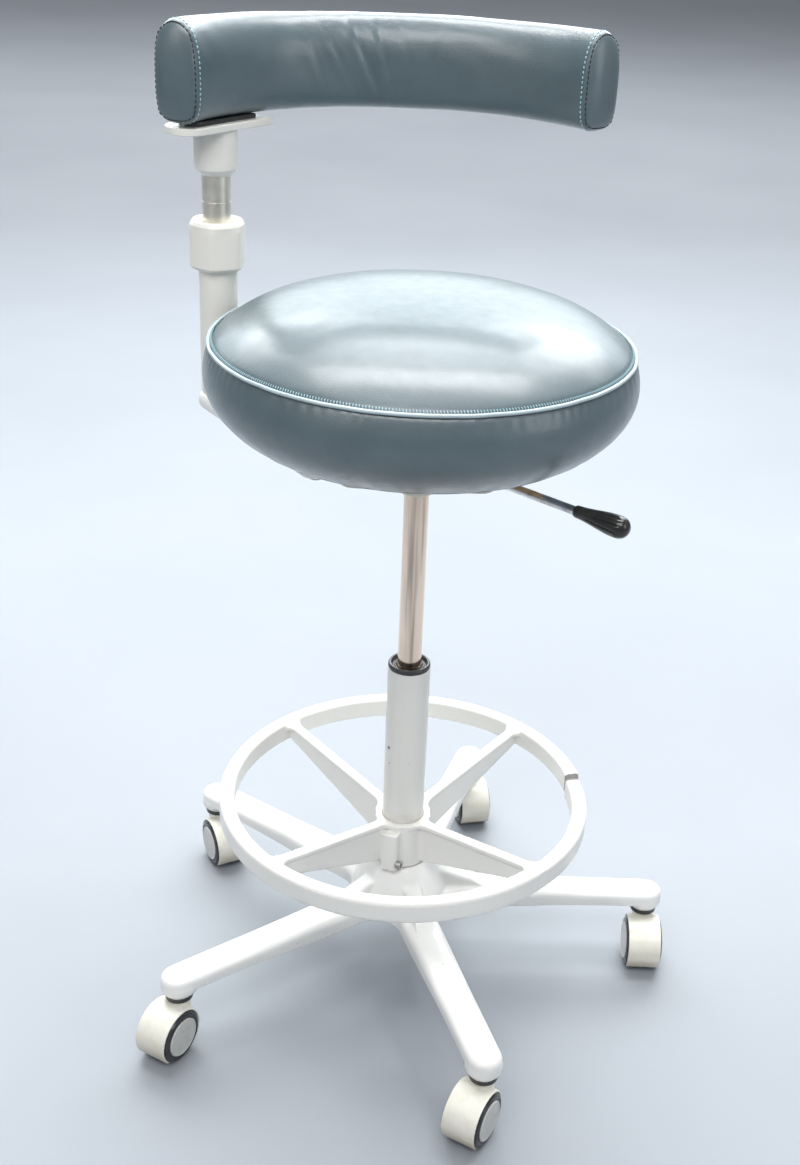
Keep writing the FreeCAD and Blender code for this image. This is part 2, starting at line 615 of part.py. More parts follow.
def make_casters():
    reach = ARM_REACH - ARM_TIP_R
    hood = make_hood()
    axle = across(4.0, -14.0, 14.0)
    wheels = {"left": make_wheel(1), "right": make_wheel(-1)}
    for i, (angle, trail) in enumerate(zip(arm_angles(), CASTER_TRAIL_DEG)):
        turn = math.radians(angle)
        pivot = V(reach * math.cos(turn), reach * math.sin(turn), 0)

        def placed(shape):
            copy = moved(shape, -CASTER_TRAIL, 0, 0)
            copy.rotate(V(0, 0, 0), Z, trail + 180.0)
            copy.translate(pivot)
            return copy

        keep("caster_%d_hood" % (i + 1), placed(hood))
        keep("caster_%d_axle" % (i + 1), placed(axle))
        for side, wheel in wheels.items():
            keep("caster_%d_wheel_%s" % (i + 1, side), placed(wheel))


def main():
    keep("base_star", make_base_star())
    make_column()
    make_caster_fixings()
    make_gas_lift()
    make_foot_ring()
    make_seat()
    make_seat_hub()
    make_seat_pan()
    make_lever()
    make_support_arm()
    make_post()
    make_body_support()
    make_casters()
    os.makedirs("parts", exist_ok=True)
    for name, shape in PARTS.items():
        solids = len(shape.Solids)
        print("%-24s solids %d valid %s volume %.0f" % (name, solids, shape.isValid(), shape.Volume))
        shape.exportStep("parts/%s.step" % name)
    print(len(PARTS), "nodes")


main()
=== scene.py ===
import json
import random
from math import atan2, copysign, cos, pi, radians, sin, sqrt, tan

import bmesh
import bpy
import numpy as np
from mathutils import Matrix, Vector


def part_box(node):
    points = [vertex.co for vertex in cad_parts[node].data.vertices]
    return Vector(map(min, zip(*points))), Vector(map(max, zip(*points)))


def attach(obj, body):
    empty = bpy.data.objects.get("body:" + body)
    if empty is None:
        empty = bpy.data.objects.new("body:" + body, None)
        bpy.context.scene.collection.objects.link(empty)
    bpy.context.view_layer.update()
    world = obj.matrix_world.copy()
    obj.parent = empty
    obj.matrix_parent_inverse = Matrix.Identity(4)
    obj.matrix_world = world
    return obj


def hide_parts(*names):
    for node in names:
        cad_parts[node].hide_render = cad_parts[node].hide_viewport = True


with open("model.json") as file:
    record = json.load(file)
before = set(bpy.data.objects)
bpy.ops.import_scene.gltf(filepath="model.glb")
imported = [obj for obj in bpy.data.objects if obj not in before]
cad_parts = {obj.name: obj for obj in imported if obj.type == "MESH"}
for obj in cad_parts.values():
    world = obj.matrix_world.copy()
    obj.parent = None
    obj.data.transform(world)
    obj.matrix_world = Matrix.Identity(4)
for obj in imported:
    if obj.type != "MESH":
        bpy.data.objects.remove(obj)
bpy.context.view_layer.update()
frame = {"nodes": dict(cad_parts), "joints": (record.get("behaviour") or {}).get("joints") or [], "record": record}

# Looks of the dentist stool, in metres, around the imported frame.

# ---- driving values
column_low, column_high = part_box("column_tube")
COLUMN_R = (column_high.x - column_low.x) / 2
bush_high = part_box("column_guide_bush")[1]
cylinder_low, cylinder_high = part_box("gas_cylinder")
CYLINDER_R = (cylinder_high.x - cylinder_low.x) / 2
star_low, star_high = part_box("base_star")
piping_low, piping_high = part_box("seat_piping")
seat_low, seat_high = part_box("seat_cover")
post_low, post_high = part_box("post_tube")
POST_X = (post_low.x + post_high.x) / 2
POST_Y = (post_low.y + post_high.y) / 2
POST_R = (post_high.x - post_low.x) / 2
inner_low, inner_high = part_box("inner_post")
INNER_R = (inner_high.x - inner_low.x) / 2
nut_low, nut_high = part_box("clamp_nut")
collar_low, collar_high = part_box("pivot_collar")
COLLAR_R = (collar_high.x - collar_low.x) / 2
pad_low, pad_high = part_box("support_cover")

SEAT_R = 0.220              # to the seam under the piping
SEAT_SEAM_Z = (piping_low.z + piping_high.z) / 2
SEAT_TOP_Z = seat_high.z
SEAT_LOW_Z = seat_low.z

PAD_X = -0.0183             # centre of the pad's curve
PAD_Y = -0.0334
PAD_R = 0.255
PAD_FROM = radians(38.8)
PAD_TO = radians(161.6)
PAD_HALF = 0.0255

ARM_COUNT = 5
FIRST_ARM = radians(-71.2)
ARM_HALF = 0.0215
STAR_ARM_TOP = 0.0992       # where the hub's flare meets the arms' tops
BOSS_AT = 0.309             # column axis to the middle of a caster's boss
RIM_R = 0.2125              # middle of the foot ring's rim
CRACK = radians(12.0)  # where the foot ring is cracked through

LEVER_TURN = radians(-41.0)
LEVER_Z = 0.671             # height of the lever's pivot
LEVER_R = 0.0047

WHEEL_R = 0.030
WHEEL_IN = 0.0028           # from the caster's middle to a wheel's inner face

TAU = 2 * pi


# ---- material helpers
def new_material(name, **sockets):
    look = bpy.data.materials.new(name)
    look.use_nodes = True
    shader = look.node_tree.nodes["Principled BSDF"]
    for key, value in sockets.items():
        shader.inputs[key.replace("_", " ")].default_value = value
    return look


def shader_of(look):
    return look.node_tree.nodes["Principled BSDF"]


def add_node(look, kind, **values):
    node = look.node_tree.nodes.new("ShaderNode" + kind)
    for key, value in values.items():
        setattr(node, key, value)
    return node


def join(look, source, target):
    look.node_tree.links.new(source, target)


def place_of(look, stretch=(1, 1, 1)):
    """Object coordinates, stretched."""
    where = add_node(look, "TexCoord")
    mapping = add_node(look, "Mapping")
    mapping.inputs["Scale"].default_value = stretch
    join(look, where.outputs["Object"], mapping.inputs["Vector"])
    return mapping.outputs["Vector"]


def noise_of(look, scale, detail=3.0, rough=0.5, stretch=(1, 1, 1)):
    node = add_node(look, "TexNoise")
    node.inputs["Scale"].default_value = scale
    node.inputs["Detail"].default_value = detail
    node.inputs["Roughness"].default_value = rough
    join(look, place_of(look, stretch), node.inputs["Vector"])
    return node.outputs["Fac"]


def cells_of(look, scale, feature="F1"):
    node = add_node(look, "TexVoronoi", feature=feature)
    node.inputs["Scale"].default_value = scale
    join(look, place_of(look), node.inputs["Vector"])
    return node.outputs["Distance"]


def range_of(look, source, low, high, to_low=0.0, to_high=1.0):
    node = add_node(look, "MapRange")
    node.inputs["From Min"].default_value = low
    node.inputs["From Max"].default_value = high
    node.inputs["To Min"].default_value = to_low
    node.inputs["To Max"].default_value = to_high
    join(look, source, node.inputs["Value"])
    return node.outputs["Result"]


def spread(look, scale, detail, low, high, to_low=0.0, to_high=1.0, rough=0.5, stretch=(1, 1, 1)):
    """Noise whose values from low to high are spread over to_low to to_high."""
    return range_of(look, noise_of(look, scale, detail, rough, stretch), low, high, to_low, to_high)


def maths(look, kind, a, b):
    node = add_node(look, "Math", operation=kind)
    for socket, value in zip(node.inputs, (a, b)):
        if isinstance(value, (int, float)):
            socket.default_value = value
        else:
            join(look, value, socket)
    return node.outputs["Value"]


def times(look, a, b):
    return maths(look, "MULTIPLY", a, b)


def blend_colours(look, share, first, second):
    """first where share is 0 and second where it is 1. Each is a colour or a socket."""
    node = add_node(look, "Mix", data_type="RGBA")
    join(look, share, node.inputs["Factor"])
    for socket, value in ((node.inputs[6], first), (node.inputs[7], second)):
        if isinstance(value, tuple):
            socket.default_value = (*value, 1.0)
        else:
            join(look, value, socket)
    return node.outputs[2]


def set_looks(look, colour, rough):
    join(look, colour, shader_of(look).inputs["Base Color"])
    join(look, rough, shader_of(look).inputs["Roughness"])


def set_bump(look, height, distance, strength=1.0, under=None):
    node = add_node(look, "Bump")
    node.inputs["Strength"].default_value = strength
    node.inputs["Distance"].default_value = distance
    join(look, height, node.inputs["Height"])
    if under is not None:
        join(look, under, node.inputs["Normal"])
    join(look, node.outputs["Normal"], shader_of(look).inputs["Normal"])
    return node.outputs["Normal"]


def edge_share(look, low, high):
    """How sharp an outer edge is: 1 along edges, 0 on faces."""
    node = add_node(look, "NewGeometry")
    return range_of(look, node.outputs["Pointiness"], low, high)


def compared(look, kind, vector):
    """The point's DISTANCE from a vector, or its DOT_PRODUCT with it."""
    node = add_node(look, "VectorMath", operation=kind)
    node.inputs[1].default_value = vector
    join(look, add_node(look, "TexCoord").outputs["Object"], node.inputs[0])
    return node.outputs["Value"]


def height_of(look):
    """Height above the floor of the point at rest."""
    return compared(look, "DOT_PRODUCT", (0, 0, 1))


def spot_of(look, centre, size):
    """1 inside a small round spot, falling to 0 at its rim."""
    return range_of(look, compared(look, "DISTANCE", centre), size, size * 0.5)


# ---- materials
PAINT = (0.83, 0.82, 0.79)
PAINT_YELLOW = (0.72, 0.62, 0.44)
PAINT_GREY = (0.66, 0.655, 0.63)
CHIP = (0.05, 0.045, 0.04)


def painted(name, colour=PAINT, chips=0.5, stain=None, spots=()):
    """Sprayed cast aluminium: fine orange peel, yellowed edges, faint grime and a few chips."""
    look = new_material(name, Coat_Weight=0.25, Coat_Roughness=0.18)
    cloud = spread(look, 9.0, 4.0, 0.42, 0.72)
    base = blend_colours(look, times(look, cloud, 0.35), colour, PAINT_GREY)
    worn = times(look, edge_share(look, 0.515, 0.60), spread(look, 28.0, 3.0, 0.35, 0.7))
    base = blend_colours(look, times(look, worn, 0.55), base, PAINT_YELLOW)
    if stain is not None:
        low, high = stain
        near = range_of(look, height_of(look), high, low)
        wash = times(look, near, spread(look, 60.0, 3.0, 0.3, 0.75))
        base = blend_colours(look, times(look, wash, 0.7), base, (0.42, 0.30, 0.15))
    rare = spread(look, 17.0, 2.0, 0.62, 0.66)
    dots = range_of(look, cells_of(look, 120.0), 0.11, 0.07)
    chipped = times(look, times(look, rare, dots), chips)
    for centre, size in spots:
        chipped = maths(look, "MAXIMUM", chipped, spot_of(look, centre, size))
    base = blend_colours(look, chipped, base, CHIP)
    rough = spread(look, 45.0, 5.0, 0.3, 0.75, 0.30, 0.46)
    set_looks(look, base, maths(look, "ADD", rough, times(look, chipped, 0.3)))
    peel = maths(look, "SUBTRACT", noise_of(look, 620.0, 2.0), times(look, chipped, 2.0))
    set_bump(look, peel, 0.00018, 0.55)
    return look


def laid_over(look, share, colour):
    """Another colour over the look's own, where share is 1."""
    socket = shader_of(look).inputs["Base Color"]
    join(look, blend_colours(look, share, socket.links[0].from_socket, colour), socket)
    return look


def fractured(look):
    """Grey torn metal on the faces of the crack, found by their angle round the ring."""
    across = CRACK - 0.0045
    along = compared(look, "DOT_PRODUCT", (-sin(across), cos(across), 0))
    outward = compared(look, "DOT_PRODUCT", (cos(CRACK), sin(CRACK), 0))
    jag = spread(look, 300.0, 4.0, 0.3, 0.7, -0.0009, 0.0009)
    off = maths(look, "ABSOLUTE", maths(look, "ADD", along, jag), 0.0)
    near = range_of(look, off, 0.0021, 0.0013)
    near = times(look, near, range_of(look, outward, 0.15, 0.16))
    torn = blend_colours(look, noise_of(look, 900.0, 5.0), (0.16, 0.15, 0.14), (0.40, 0.39, 0.37))
    return laid_over(look, near, torn)


def chrome(name, tint, stained, streaks, rough=(0.05, 0.22), along=(1, 1, 0.06)):
    """Bright plating with fine scratches, dull patches, and dark streaks along its length that paint in
    reflections of darker surroundings and the shaded side.
    """
    look = new_material(name, Metallic=1.0)
    dull = spread(look, 55.0, 5.0, 0.45, 0.75)
    brown = spread(look, 14.0, 3.0, 0.5, 0.72, stretch=(1, 1, 0.4))
    base = blend_colours(look, times(look, brown, 0.5), tint, stained)
    # painted reflection and shade: dark streaks in the plating's colour stand in for darker things mirrored in it
    reflection_streak = spread(look, 105.0, 2.5, 0.50, 0.66, rough=0.6, stretch=streaks)
    base = blend_colours(look, times(look, reflection_streak, 0.75), base, tuple(0.42 * c for c in tint))
    lines = spread(look, 900.0, 4.0, 0.35, 0.8, rough=0.7, stretch=along)
    mixed = maths(look, "ADD", times(look, dull, 0.55), times(look, lines, 0.45))
    set_looks(look, base, range_of(look, mixed, 0.0, 1.0, *rough))
    set_bump(look, lines, 0.00003, 0.6)
    return look


def vinyl(name, colour, deep):
    """Upholstery vinyl: pebbled grain, fine pores, faint mottling and a soft shine."""
    look = new_material(name, Specular_IOR_Level=0.8, Coat_Weight=0.55, Coat_Roughness=0.22)
    mottle = spread(look, 26.0, 5.0, 0.35, 0.7)
    grain = cells_of(look, 1150.0, "SMOOTH_F1")
    creased = cells_of(look, 620.0, "DISTANCE_TO_EDGE")
    base = blend_colours(look, times(look, mottle, 0.5), colour, deep)
    pores = range_of(look, grain, 0.15, 0.75)
    base = blend_colours(look, times(look, pores, 0.22), base, deep)
    rough = spread(look, 70.0, 4.0, 0.3, 0.7, 0.30, 0.42)
    set_looks(look, base, maths(look, "ADD", rough, times(look, pores, 0.06)))
    fine = set_bump(look, range_of(look, grain, 0.7, 0.1), 0.00016, 0.55)
    set_bump(look, range_of(look, creased, 0.0, 0.12), 0.00010, 0.45, fine)
    return look


def moulded(name, colour, shade, rough=0.34, dirt=(0.30, 0.25, 0.17), dirt_share=0.4, scale=70.0):
    """Moulded plastic: a fine texture, uneven gloss and dirt in patches."""
    look = new_material(name, Coat_Weight=0.1)
    tone = spread(look, scale * 0.5, 3.0, 0.3, 0.7)
    base = blend_colours(look, tone, colour, shade)
    soil = spread(look, scale, 6.0, 0.52, 0.78, rough=0.65)
    base = blend_colours(look, times(look, soil, dirt_share), base, dirt)
    set_looks(look, base, range_of(look, soil, 0.0, 1.0, rough, rough + 0.18))
    set_bump(look, noise_of(look, 1500.0, 2.0), 0.00008, 0.5)
    return look


def aged(look):
    """Tan discolouring that runs in from the lower edge of a caster's hood."""
    low = range_of(look, height_of(look), 0.050, 0.012)
    patchy = spread(look, 45.0, 4.0, 0.35, 0.65, 0.35, 1.0, stretch=(0.35, 0.35, 2.2))
    return laid_over(look, times(look, times(look, low, patchy), 0.92), (0.50, 0.42, 0.31))


def brushed(name, colour, rough=(0.22, 0.4), stretch=(1, 1, 0.05)):
    """Turned or drawn steel with fine lines."""
    look = new_material(name, Metallic=1.0)
    lines = spread(look, 700.0, 4.0, 0.3, 0.75, rough=0.6, stretch=stretch)
    tone = spread(look, 30.0, 4.0, 0.35, 0.7)
    dark = tuple(c * 0.72 for c in colour)
    set_looks(look, blend_colours(look, tone, colour, dark), range_of(look, lines, 0.0, 1.0, *rough))
    set_bump(look, lines, 0.00003, 0.5)
    return look


def fibrous(name, colour, shade, scale, stretch, rough=0.8, depth=0.0002):
    """Wood plies, foam cells or thread, by scale and stretch."""
    look = new_material(name)
    grain = noise_of(look, scale, 6.0, 0.65, stretch=stretch)
    share = range_of(look, grain, 0.3, 0.7)
    set_looks(look, blend_colours(look, share, colour, shade),
              range_of(look, share, 0.0, 1.0, rough, rough - 0.12))
    set_bump(look, grain, depth, 0.7)
    return look


LOOKS = {
    "cast_white": painted("white_paint"),
    "ring_paint": fractured(painted("ring_paint", (0.80, 0.785, 0.745))),
    "column_paint": painted("column_paint", (0.70, 0.69, 0.655), 0.5, (0.196, 0.216),
                            (((-0.0205, -0.0155, 0.302), 0.0028), ((-0.019, -0.017, 0.281), 0.0012))),
    "tube_white": painted("post_paint", (0.79, 0.77, 0.71), 0.35),
    "pan_ivory": painted("pan_paint", (0.70, 0.66, 0.56), 0.8),
    "bush_black": moulded("black_nylon", (0.018, 0.019, 0.021), (0.035, 0.036, 0.038), 0.32,
                          (0.10, 0.095, 0.085)),
    "chrome": chrome("chrome", (0.70, 0.70, 0.70), (0.55, 0.52, 0.48), (0.7, 0.9, 0.7)),
    "cylinder_chrome": chrome("cylinder_chrome", (0.97, 0.80, 0.65), (0.62, 0.48, 0.37),
                              (1, 1, 0.035), (0.10, 0.28)),
    "satin_steel": brushed("satin_steel", (1.0, 0.95, 0.84), (0.34, 0.50)),
    "bolt_steel": brushed("bolt_steel", (0.50, 0.48, 0.45), (0.25, 0.5), (1, 1, 1)),
    "buffer_rubber": moulded("buffer_rubber", (0.02, 0.02, 0.02), (0.05, 0.05, 0.05), 0.7),
    "collet_brass": brushed("collet_brass", (0.62, 0.46, 0.22), (0.3, 0.5)),
    "grip_black": moulded("black_grip", (0.012, 0.012, 0.012), (0.028, 0.027, 0.026), 0.16,
                          (0.09, 0.085, 0.08), 0.15),
    "vinyl_teal": vinyl("teal_vinyl", (0.078, 0.116, 0.132), (0.052, 0.082, 0.095)),
    # painted highlight: the piping is the same vinyl as the seat, given a far lighter teal to stand in for the
    # glare along it
    "piping_teal": vinyl("piping_vinyl_painted_glare", (0.42, 0.51, 0.53), (0.32, 0.41, 0.44)),
    "foam": fibrous("foam", (0.78, 0.66, 0.38), (0.60, 0.48, 0.25), 900.0, (1, 1, 1), 0.95, 0.0006),
    "plywood": fibrous("plywood", (0.52, 0.36, 0.20), (0.30, 0.19, 0.10), 60.0, (1, 0.12, 8.0)),
    "hood_ivory": aged(moulded("ivory_plastic", (0.83, 0.81, 0.73), (0.79, 0.76, 0.66), 0.30,
                               (0.45, 0.37, 0.25), 0.16, 90.0)),
    "wheel_dark": moulded("dark_tyre", (0.016, 0.018, 0.021), (0.030, 0.033, 0.037), 0.18,
                          (0.16, 0.15, 0.13), 0.22, 160.0),
    "disc_grey": moulded("grey_disc", (0.58, 0.58, 0.55), (0.52, 0.52, 0.49), 0.36,
                         (0.27, 0.24, 0.19), 0.25, 150.0),
    "thread_black": fibrous("black_thread", (0.012, 0.013, 0.014), (0.04, 0.042, 0.045), 1800.0,
                            (1, 1, 1), 0.75),
    "thread_blue": fibrous("blue_thread", (0.42, 0.60, 0.66), (0.26, 0.42, 0.47), 1800.0, (1, 1, 1), 0.7),
    # painted shadow: a near-black vinyl colour for the ring under the piping, standing in for the shadow in the
    # gap there
    "seam_dark": vinyl("seam_shadow", (0.030, 0.055, 0.066), (0.018, 0.034, 0.042)),
    "staple_steel": brushed("staple_steel", (0.6, 0.6, 0.6), (0.2, 0.4), (1, 1, 1)),
}


# ---- mesh helpers
def piece(name, vertices, faces, look, body, slot):
    mesh = bpy.data.meshes.new(name)
    mesh.from_pydata([tuple(v) for v in vertices], [], faces)
    return finish_piece(name, mesh, look, body, slot)


def finish_piece(name, mesh, look, body, slot):
    work = bmesh.new()
    work.from_mesh(mesh)
    bmesh.ops.remove_doubles(work, verts=work.verts, dist=2e-6)
    bmesh.ops.recalc_face_normals(work, faces=work.faces)
    work.to_mesh(mesh)
    work.free()
    for polygon in mesh.polygons:
        polygon.use_smooth = True
    mesh.materials.clear()
    mesh.materials.append(LOOKS[look])
    obj = bpy.data.objects.new(name, mesh)
    bpy.context.scene.collection.objects.link(obj)
    if body:
        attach(obj, body)
    return obj


def rounded(points, radius, steps=4):
    """An outline with its inner corners turned into arcs. A point's third value is its own radius."""
    result = [points[0][:2]]
    for i, point in enumerate(points[1:-1], 1):
        here = Vector(point[:2])
        before = Vector(points[i - 1][:2]) - here
        after = Vector(points[i + 1][:2]) - here
        corner = point[2] if len(point) > 2 else radius
        angle = before.angle(after, pi)
        if angle > pi - 0.02 or corner <= 0:
            result.append(tuple(here))
            continue
        reach = min(corner / tan(angle / 2), 0.45 * before.length, 0.45 * after.length)
        start = here + before.normalized() * reach
        end = here + after.normalized() * reach
        size = reach * tan(angle / 2)
        halfway = (before.normalized() + after.normalized()).normalized()
        middle = here + halfway * (size / sin(angle / 2))
        a = start - middle
        b = end - middle
        sweep = a.angle(b)
        for k in range(steps + 1):
            t = k / steps
            spot = (a * sin((1 - t) * sweep) + b * sin(t * sweep)) / sin(sweep)
            result.append(tuple(middle + spot))
    result.append(points[-1][:2])
    return result


def hexed(angle, cap):
    """Radius of a hexagon with corner radius 1, its corners cut by a circle of radius cap."""
    local = (angle + pi / 6) % (pi / 3) - pi / 6
    return min(cos(pi / 6) / cos(abs(local) - pi / 6), cap)


def turned(outline, steps=96, closed=False, shape=None, matrix=None):
    """Vertices and faces of an outline of (radius, height) turned about Z."""
    matrix = matrix or Matrix.Identity(4)
    vertices = []
    rings = []
    for k, (radius, height) in enumerate(outline):
        if radius < 1e-7:
            rings.append([len(vertices)] * steps)
            vertices.append(matrix @ Vector((0, 0, height)))
            continue
        ring = []
        for i in range(steps):
            angle = TAU * i / steps
            ring.append(len(vertices))
            vertices.append(matrix @ polar(radius * (shape(angle, k) if shape else 1.0), angle, height))
        rings.append(ring)
    faces = []
    pairs = list(zip(rings, rings[1:]))
    if closed:
        pairs.append((rings[-1], rings[0]))
    for low, high in pairs:
        for i in range(steps):
            j = (i + 1) % steps
            face = []
            for v in (low[i], low[j], high[j], high[i]):
                if v not in face:
                    face.append(v)
            if len(face) > 2:
                faces.append(tuple(face))
    return vertices, faces


def lathed(name, outline, look, body, slot, steps=96, replaces=None, **how):
    """A turned piece with its shading weighted towards its large faces."""
    obj = piece(name, *turned(outline, steps, **how), look, body, slot)
    obj.modifiers.new("even_shading", "WEIGHTED_NORMAL")
    if replaces:
        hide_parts(replaces)
    return obj


def together(parts):
    """Several (vertices, faces) as one."""
    vertices = []
    faces = []
    for more_vertices, more_faces in parts:
        start = len(vertices)
        vertices += list(more_vertices)
        faces += [tuple(v + start for v in face) for face in more_faces]
    return vertices, faces


def polar(radius, angle, z=0.0):
    return Vector((radius * cos(angle), radius * sin(angle), z))


def tube_faces(count, sides, closed=False):
    """Faces between count loops of vertices, with the two ends capped or joined."""
    faces = []
    for i in range(count if closed else count - 1):
        here, ahead = i * sides, (i + 1) % count * sides
        for k in range(sides):
            n = (k + 1) % sides
            faces.append((here + k, here + n, ahead + n, ahead + k))
    if not closed:
        faces.append(tuple(range(sides)))
        faces.append(tuple(range((count - 1) * sides, count * sides)))
    return faces


def swept(points, radius, sides, closed=False):
    """A round tube along points."""
    count = len(points)
    points = [Vector(p) for p in points]
    vertices = []
    for i, point in enumerate(points):
        if closed:
            ahead = points[(i + 1) % count] - points[i - 1]
        else:
            ahead = points[min(i + 1, count - 1)] - points[max(i - 1, 0)]
        ahead.normalize()
        side = ahead.cross(Vector((0, 0, 1)))
        if side.length < 0.05:
            side = ahead.cross(Vector((0, 1, 0)))
        side.normalize()
        up = side.cross(ahead).normalized()
        for k in range(sides):
            a = TAU * k / sides
            vertices.append(point + side * (radius * cos(a)) + up * (radius * sin(a)))
    return vertices, tube_faces(count, sides, closed)


def stitch(centre, along, out, length, width):
    """One thread stitch: a short rounded bead that dips in at both ends."""
    side = along.cross(out).normalized()
    sides = 6
    vertices = []
    for share, lift, size in ((-1.0, -0.9, 0.55), (-0.72, -0.05, 0.95), (0.0, 0.35, 1.0),
                              (0.72, -0.05, 0.95), (1.0, -0.9, 0.55)):
        point = centre + along * (share * length / 2) + out * (lift * width)
        for k in range(sides):
            a = TAU * k / sides
            around = side * cos(a) + out * (0.7 * sin(a))
            vertices.append(point + around * (width * size))
    return vertices, tube_faces(len(vertices) // sides, sides)


def smooth_step(x, low, high):
    t = np.clip((x - low) / (high - low), 0, 1)
    return t * t * (3 - 2 * t)


def made_real(obj):
    """A new mesh of an object as its modifiers leave it."""
    graph = bpy.context.evaluated_depsgraph_get()
    return bpy.data.meshes.new_from_object(obj.evaluated_get(graph))


def get_points(mesh):
    points = np.zeros(len(mesh.vertices) * 3, np.float32)
    mesh.vertices.foreach_get("co", points)
    return points.reshape(-1, 3).astype(float)


def set_points(mesh, points):
    mesh.vertices.foreach_set("co", points.astype(np.float32).ravel())
    mesh.update()


def cast_copy(name, node, voxel, rounds, look, body, slot, reshape=None):
    """A soft-edged casting from a CAD node: remeshed evenly, eased, then reshaped by a function."""
    source = bpy.data.objects.new("source", frame["nodes"][node].data.copy())
    bpy.context.scene.collection.objects.link(source)
    grid = source.modifiers.new("grid", "REMESH")
    grid.mode = "VOXEL"
    grid.voxel_size = voxel
    ease = source.modifiers.new("ease", "SMOOTH")
    ease.factor = 0.5
    ease.iterations = rounds
    mesh = made_real(source)
    bpy.data.objects.remove(source)
    if reshape:
        set_points(mesh, reshape(get_points(mesh)))
    mesh.name = name
    obj = finish_piece(name, mesh, look, body, slot)
    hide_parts(node)
    return obj


# ---- base
def shape_star(points):
    """Ridges lowered to the hub's flare, crowned tops, and arms slimmer than the bosses at their tips."""
    radius = np.hypot(points[:, 0], points[:, 1])
    step = TAU / ARM_COUNT
    angle = np.arctan2(points[:, 1], points[:, 0])
    off = (angle - FIRST_ARM + step / 2) % step - step / 2
    height = points[:, 2]
    top = smooth_step(height, star_low.z + 0.0225, star_low.z + 0.0270)
    flare = STAR_ARM_TOP + (star_high.z - STAR_ARM_TOP) * (1 - smooth_step(radius, 0.034, 0.112))
    height -= np.maximum(height - flare, 0) * 0.9
    along = radius * np.cos(off)
    across = radius * np.sin(off)
    from_tip = np.hypot(along - BOSS_AT, across)
    arm = 1 - (1 - smooth_step(from_tip, 0.0205, 0.0225)) * (1 - smooth_step(height, 0.084, 0.088))
    across = across * (1 - 0.05 * smooth_step(along, 0.08, 0.22) * arm)
    under = 0.0045 * smooth_step(along, 0.12, 0.24) * arm * (1 - smooth_step(height, 0.076, 0.086))
    turn = angle - off
    points[:, 0] = along * np.cos(turn) - across * np.sin(turn)
    points[:, 1] = along * np.sin(turn) + across * np.cos(turn)
    height += under - 0.0012 * (across / ARM_HALF) ** 2 * top * smooth_step(radius, 0.10, 0.15)
    return points


def make_base():
    cast_copy("base_casting", "base_star", 0.0016, 7, "cast_white", "base", "cast_white", shape_star)


def make_column():
    z0 = column_low.z + 0.02
    z1 = column_high.z
    wall = 0.003
    bore = COLUMN_R - wall
    outline = rounded([(bore, z0), (COLUMN_R, z0), (COLUMN_R, z1, 0.0008), (bore, z1, 0.0005),
                       (bore, z1 - 0.03)], 0.0005)
    lathed("column_outer", outline, "column_paint", "base", "tube_white", 128, "column_tube")
    top = bush_high.z
    face = top - 0.0032
    bore = CYLINDER_R + 0.0003
    outline = rounded([(bore, z1 - 0.02), (bore, face - 0.0015),
                       (0.0163, face, 0.0004), (0.0172, face, 0.0003), (0.0178, face - 0.0011, 0.0003),
                       (0.0190, face - 0.0011, 0.0003), (0.0196, face, 0.0003), (0.0212, top, 0.0012),
                       (0.0236, top, 0.0014), (0.0245, top - 0.0022, 0.0008), (0.0245, z1 + 0.0002),
                       (0.0228, z1 + 0.0002)], 0.0004)
    lathed("column_bush_cap", outline, "bush_black", "base", "bush_black", 128, "column_guide_bush")


# ---- gas lift
def make_gas_lift():
    z0, z1 = cylinder_low.z, cylinder_high.z
    outline = rounded([(0, z0), (CYLINDER_R, z0, 0.002), (CYLINDER_R, z1, 0.001), (0, z1)], 0.001)
    lathed("lift_cylinder", outline, "cylinder_chrome", "seat", "chrome", replaces="gas_cylinder")
    hub_low, hub_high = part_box("seat_hub")
    z0 = hub_low.z
    outline = rounded([(CYLINDER_R + 0.0002, z0 + 0.001), (0.0152, z0, 0.0006), (0.0182, z0, 0.0012),
                       (0.0198, z0 + 0.002, 0.001), (0.0212, z0 + 0.010, 0.002), (0.0225, z0 + 0.014, 0.003),
                       (0.0300, z0 + 0.0285, 0.003), (0.0300, hub_high.z - 0.0002),
                       (CYLINDER_R + 0.0002, hub_high.z - 0.0002)], 0.001)
    lathed("seat_hub_casting", outline, "pan_ivory", "seat", "cast_white", replaces="seat_hub")


# ---- foot ring
def shape_ring(points):
    """A slight roll to the rim's top face, so that it catches light as a casting does."""
    radius = np.hypot(points[:, 0], points[:, 1])
    off = np.clip(np.abs(radius - RIM_R) / 0.009, 0, 1)
    rim = (radius > 0.198) & (points[:, 2] > 0.226)
    points[rim, 2] -= 0.0007 * off[rim] ** 2
    return points


def make_foot_ring():
    cast_copy("foot_ring_casting", "foot_ring", 0.0012, 4, "ring_paint", "ring", "cast_white", shape_ring)


# ---- soft goods
def square_cap(n):
    """A square grid laid on a disc: (share out, share round) of each vertex, and the faces."""
    places = []
    for j in range(n + 1):
        for i in range(n + 1):
            u = 2 * i / n - 1
            v = 2 * j / n - 1
            out = max(abs(u), abs(v))
            if out == 0:
                turn = 0.0
            elif abs(u) >= abs(v):
                turn = (v / u + (4 if u < 0 else 0)) / 8
            else:
                turn = (2 - u / v + (4 if v < 0 else 0)) / 8
            places.append((out, turn % 1.0))
    faces = []
    for j in range(n):
        for i in range(n):
            a = j * (n + 1) + i
            faces.append((a, a + 1, a + n + 2, a + n + 1))
    return places, faces


def closed_cushion(n, rows, side, first_cap, second_cap):
    """A closed cushion: rows of 4n points between two square-gridded caps."""
    columns = 4 * n
    wall = [side(r / rows, c / columns) for r in range(rows + 1) for c in range(columns)]
    wall_faces = tube_faces(rows + 1, columns)[:-2]
    places, cap_faces = square_cap(n)
    caps = [([cap(*place) for place in places], cap_faces) for cap in (first_cap, second_cap)]
    return together([(wall, wall_faces), *caps])


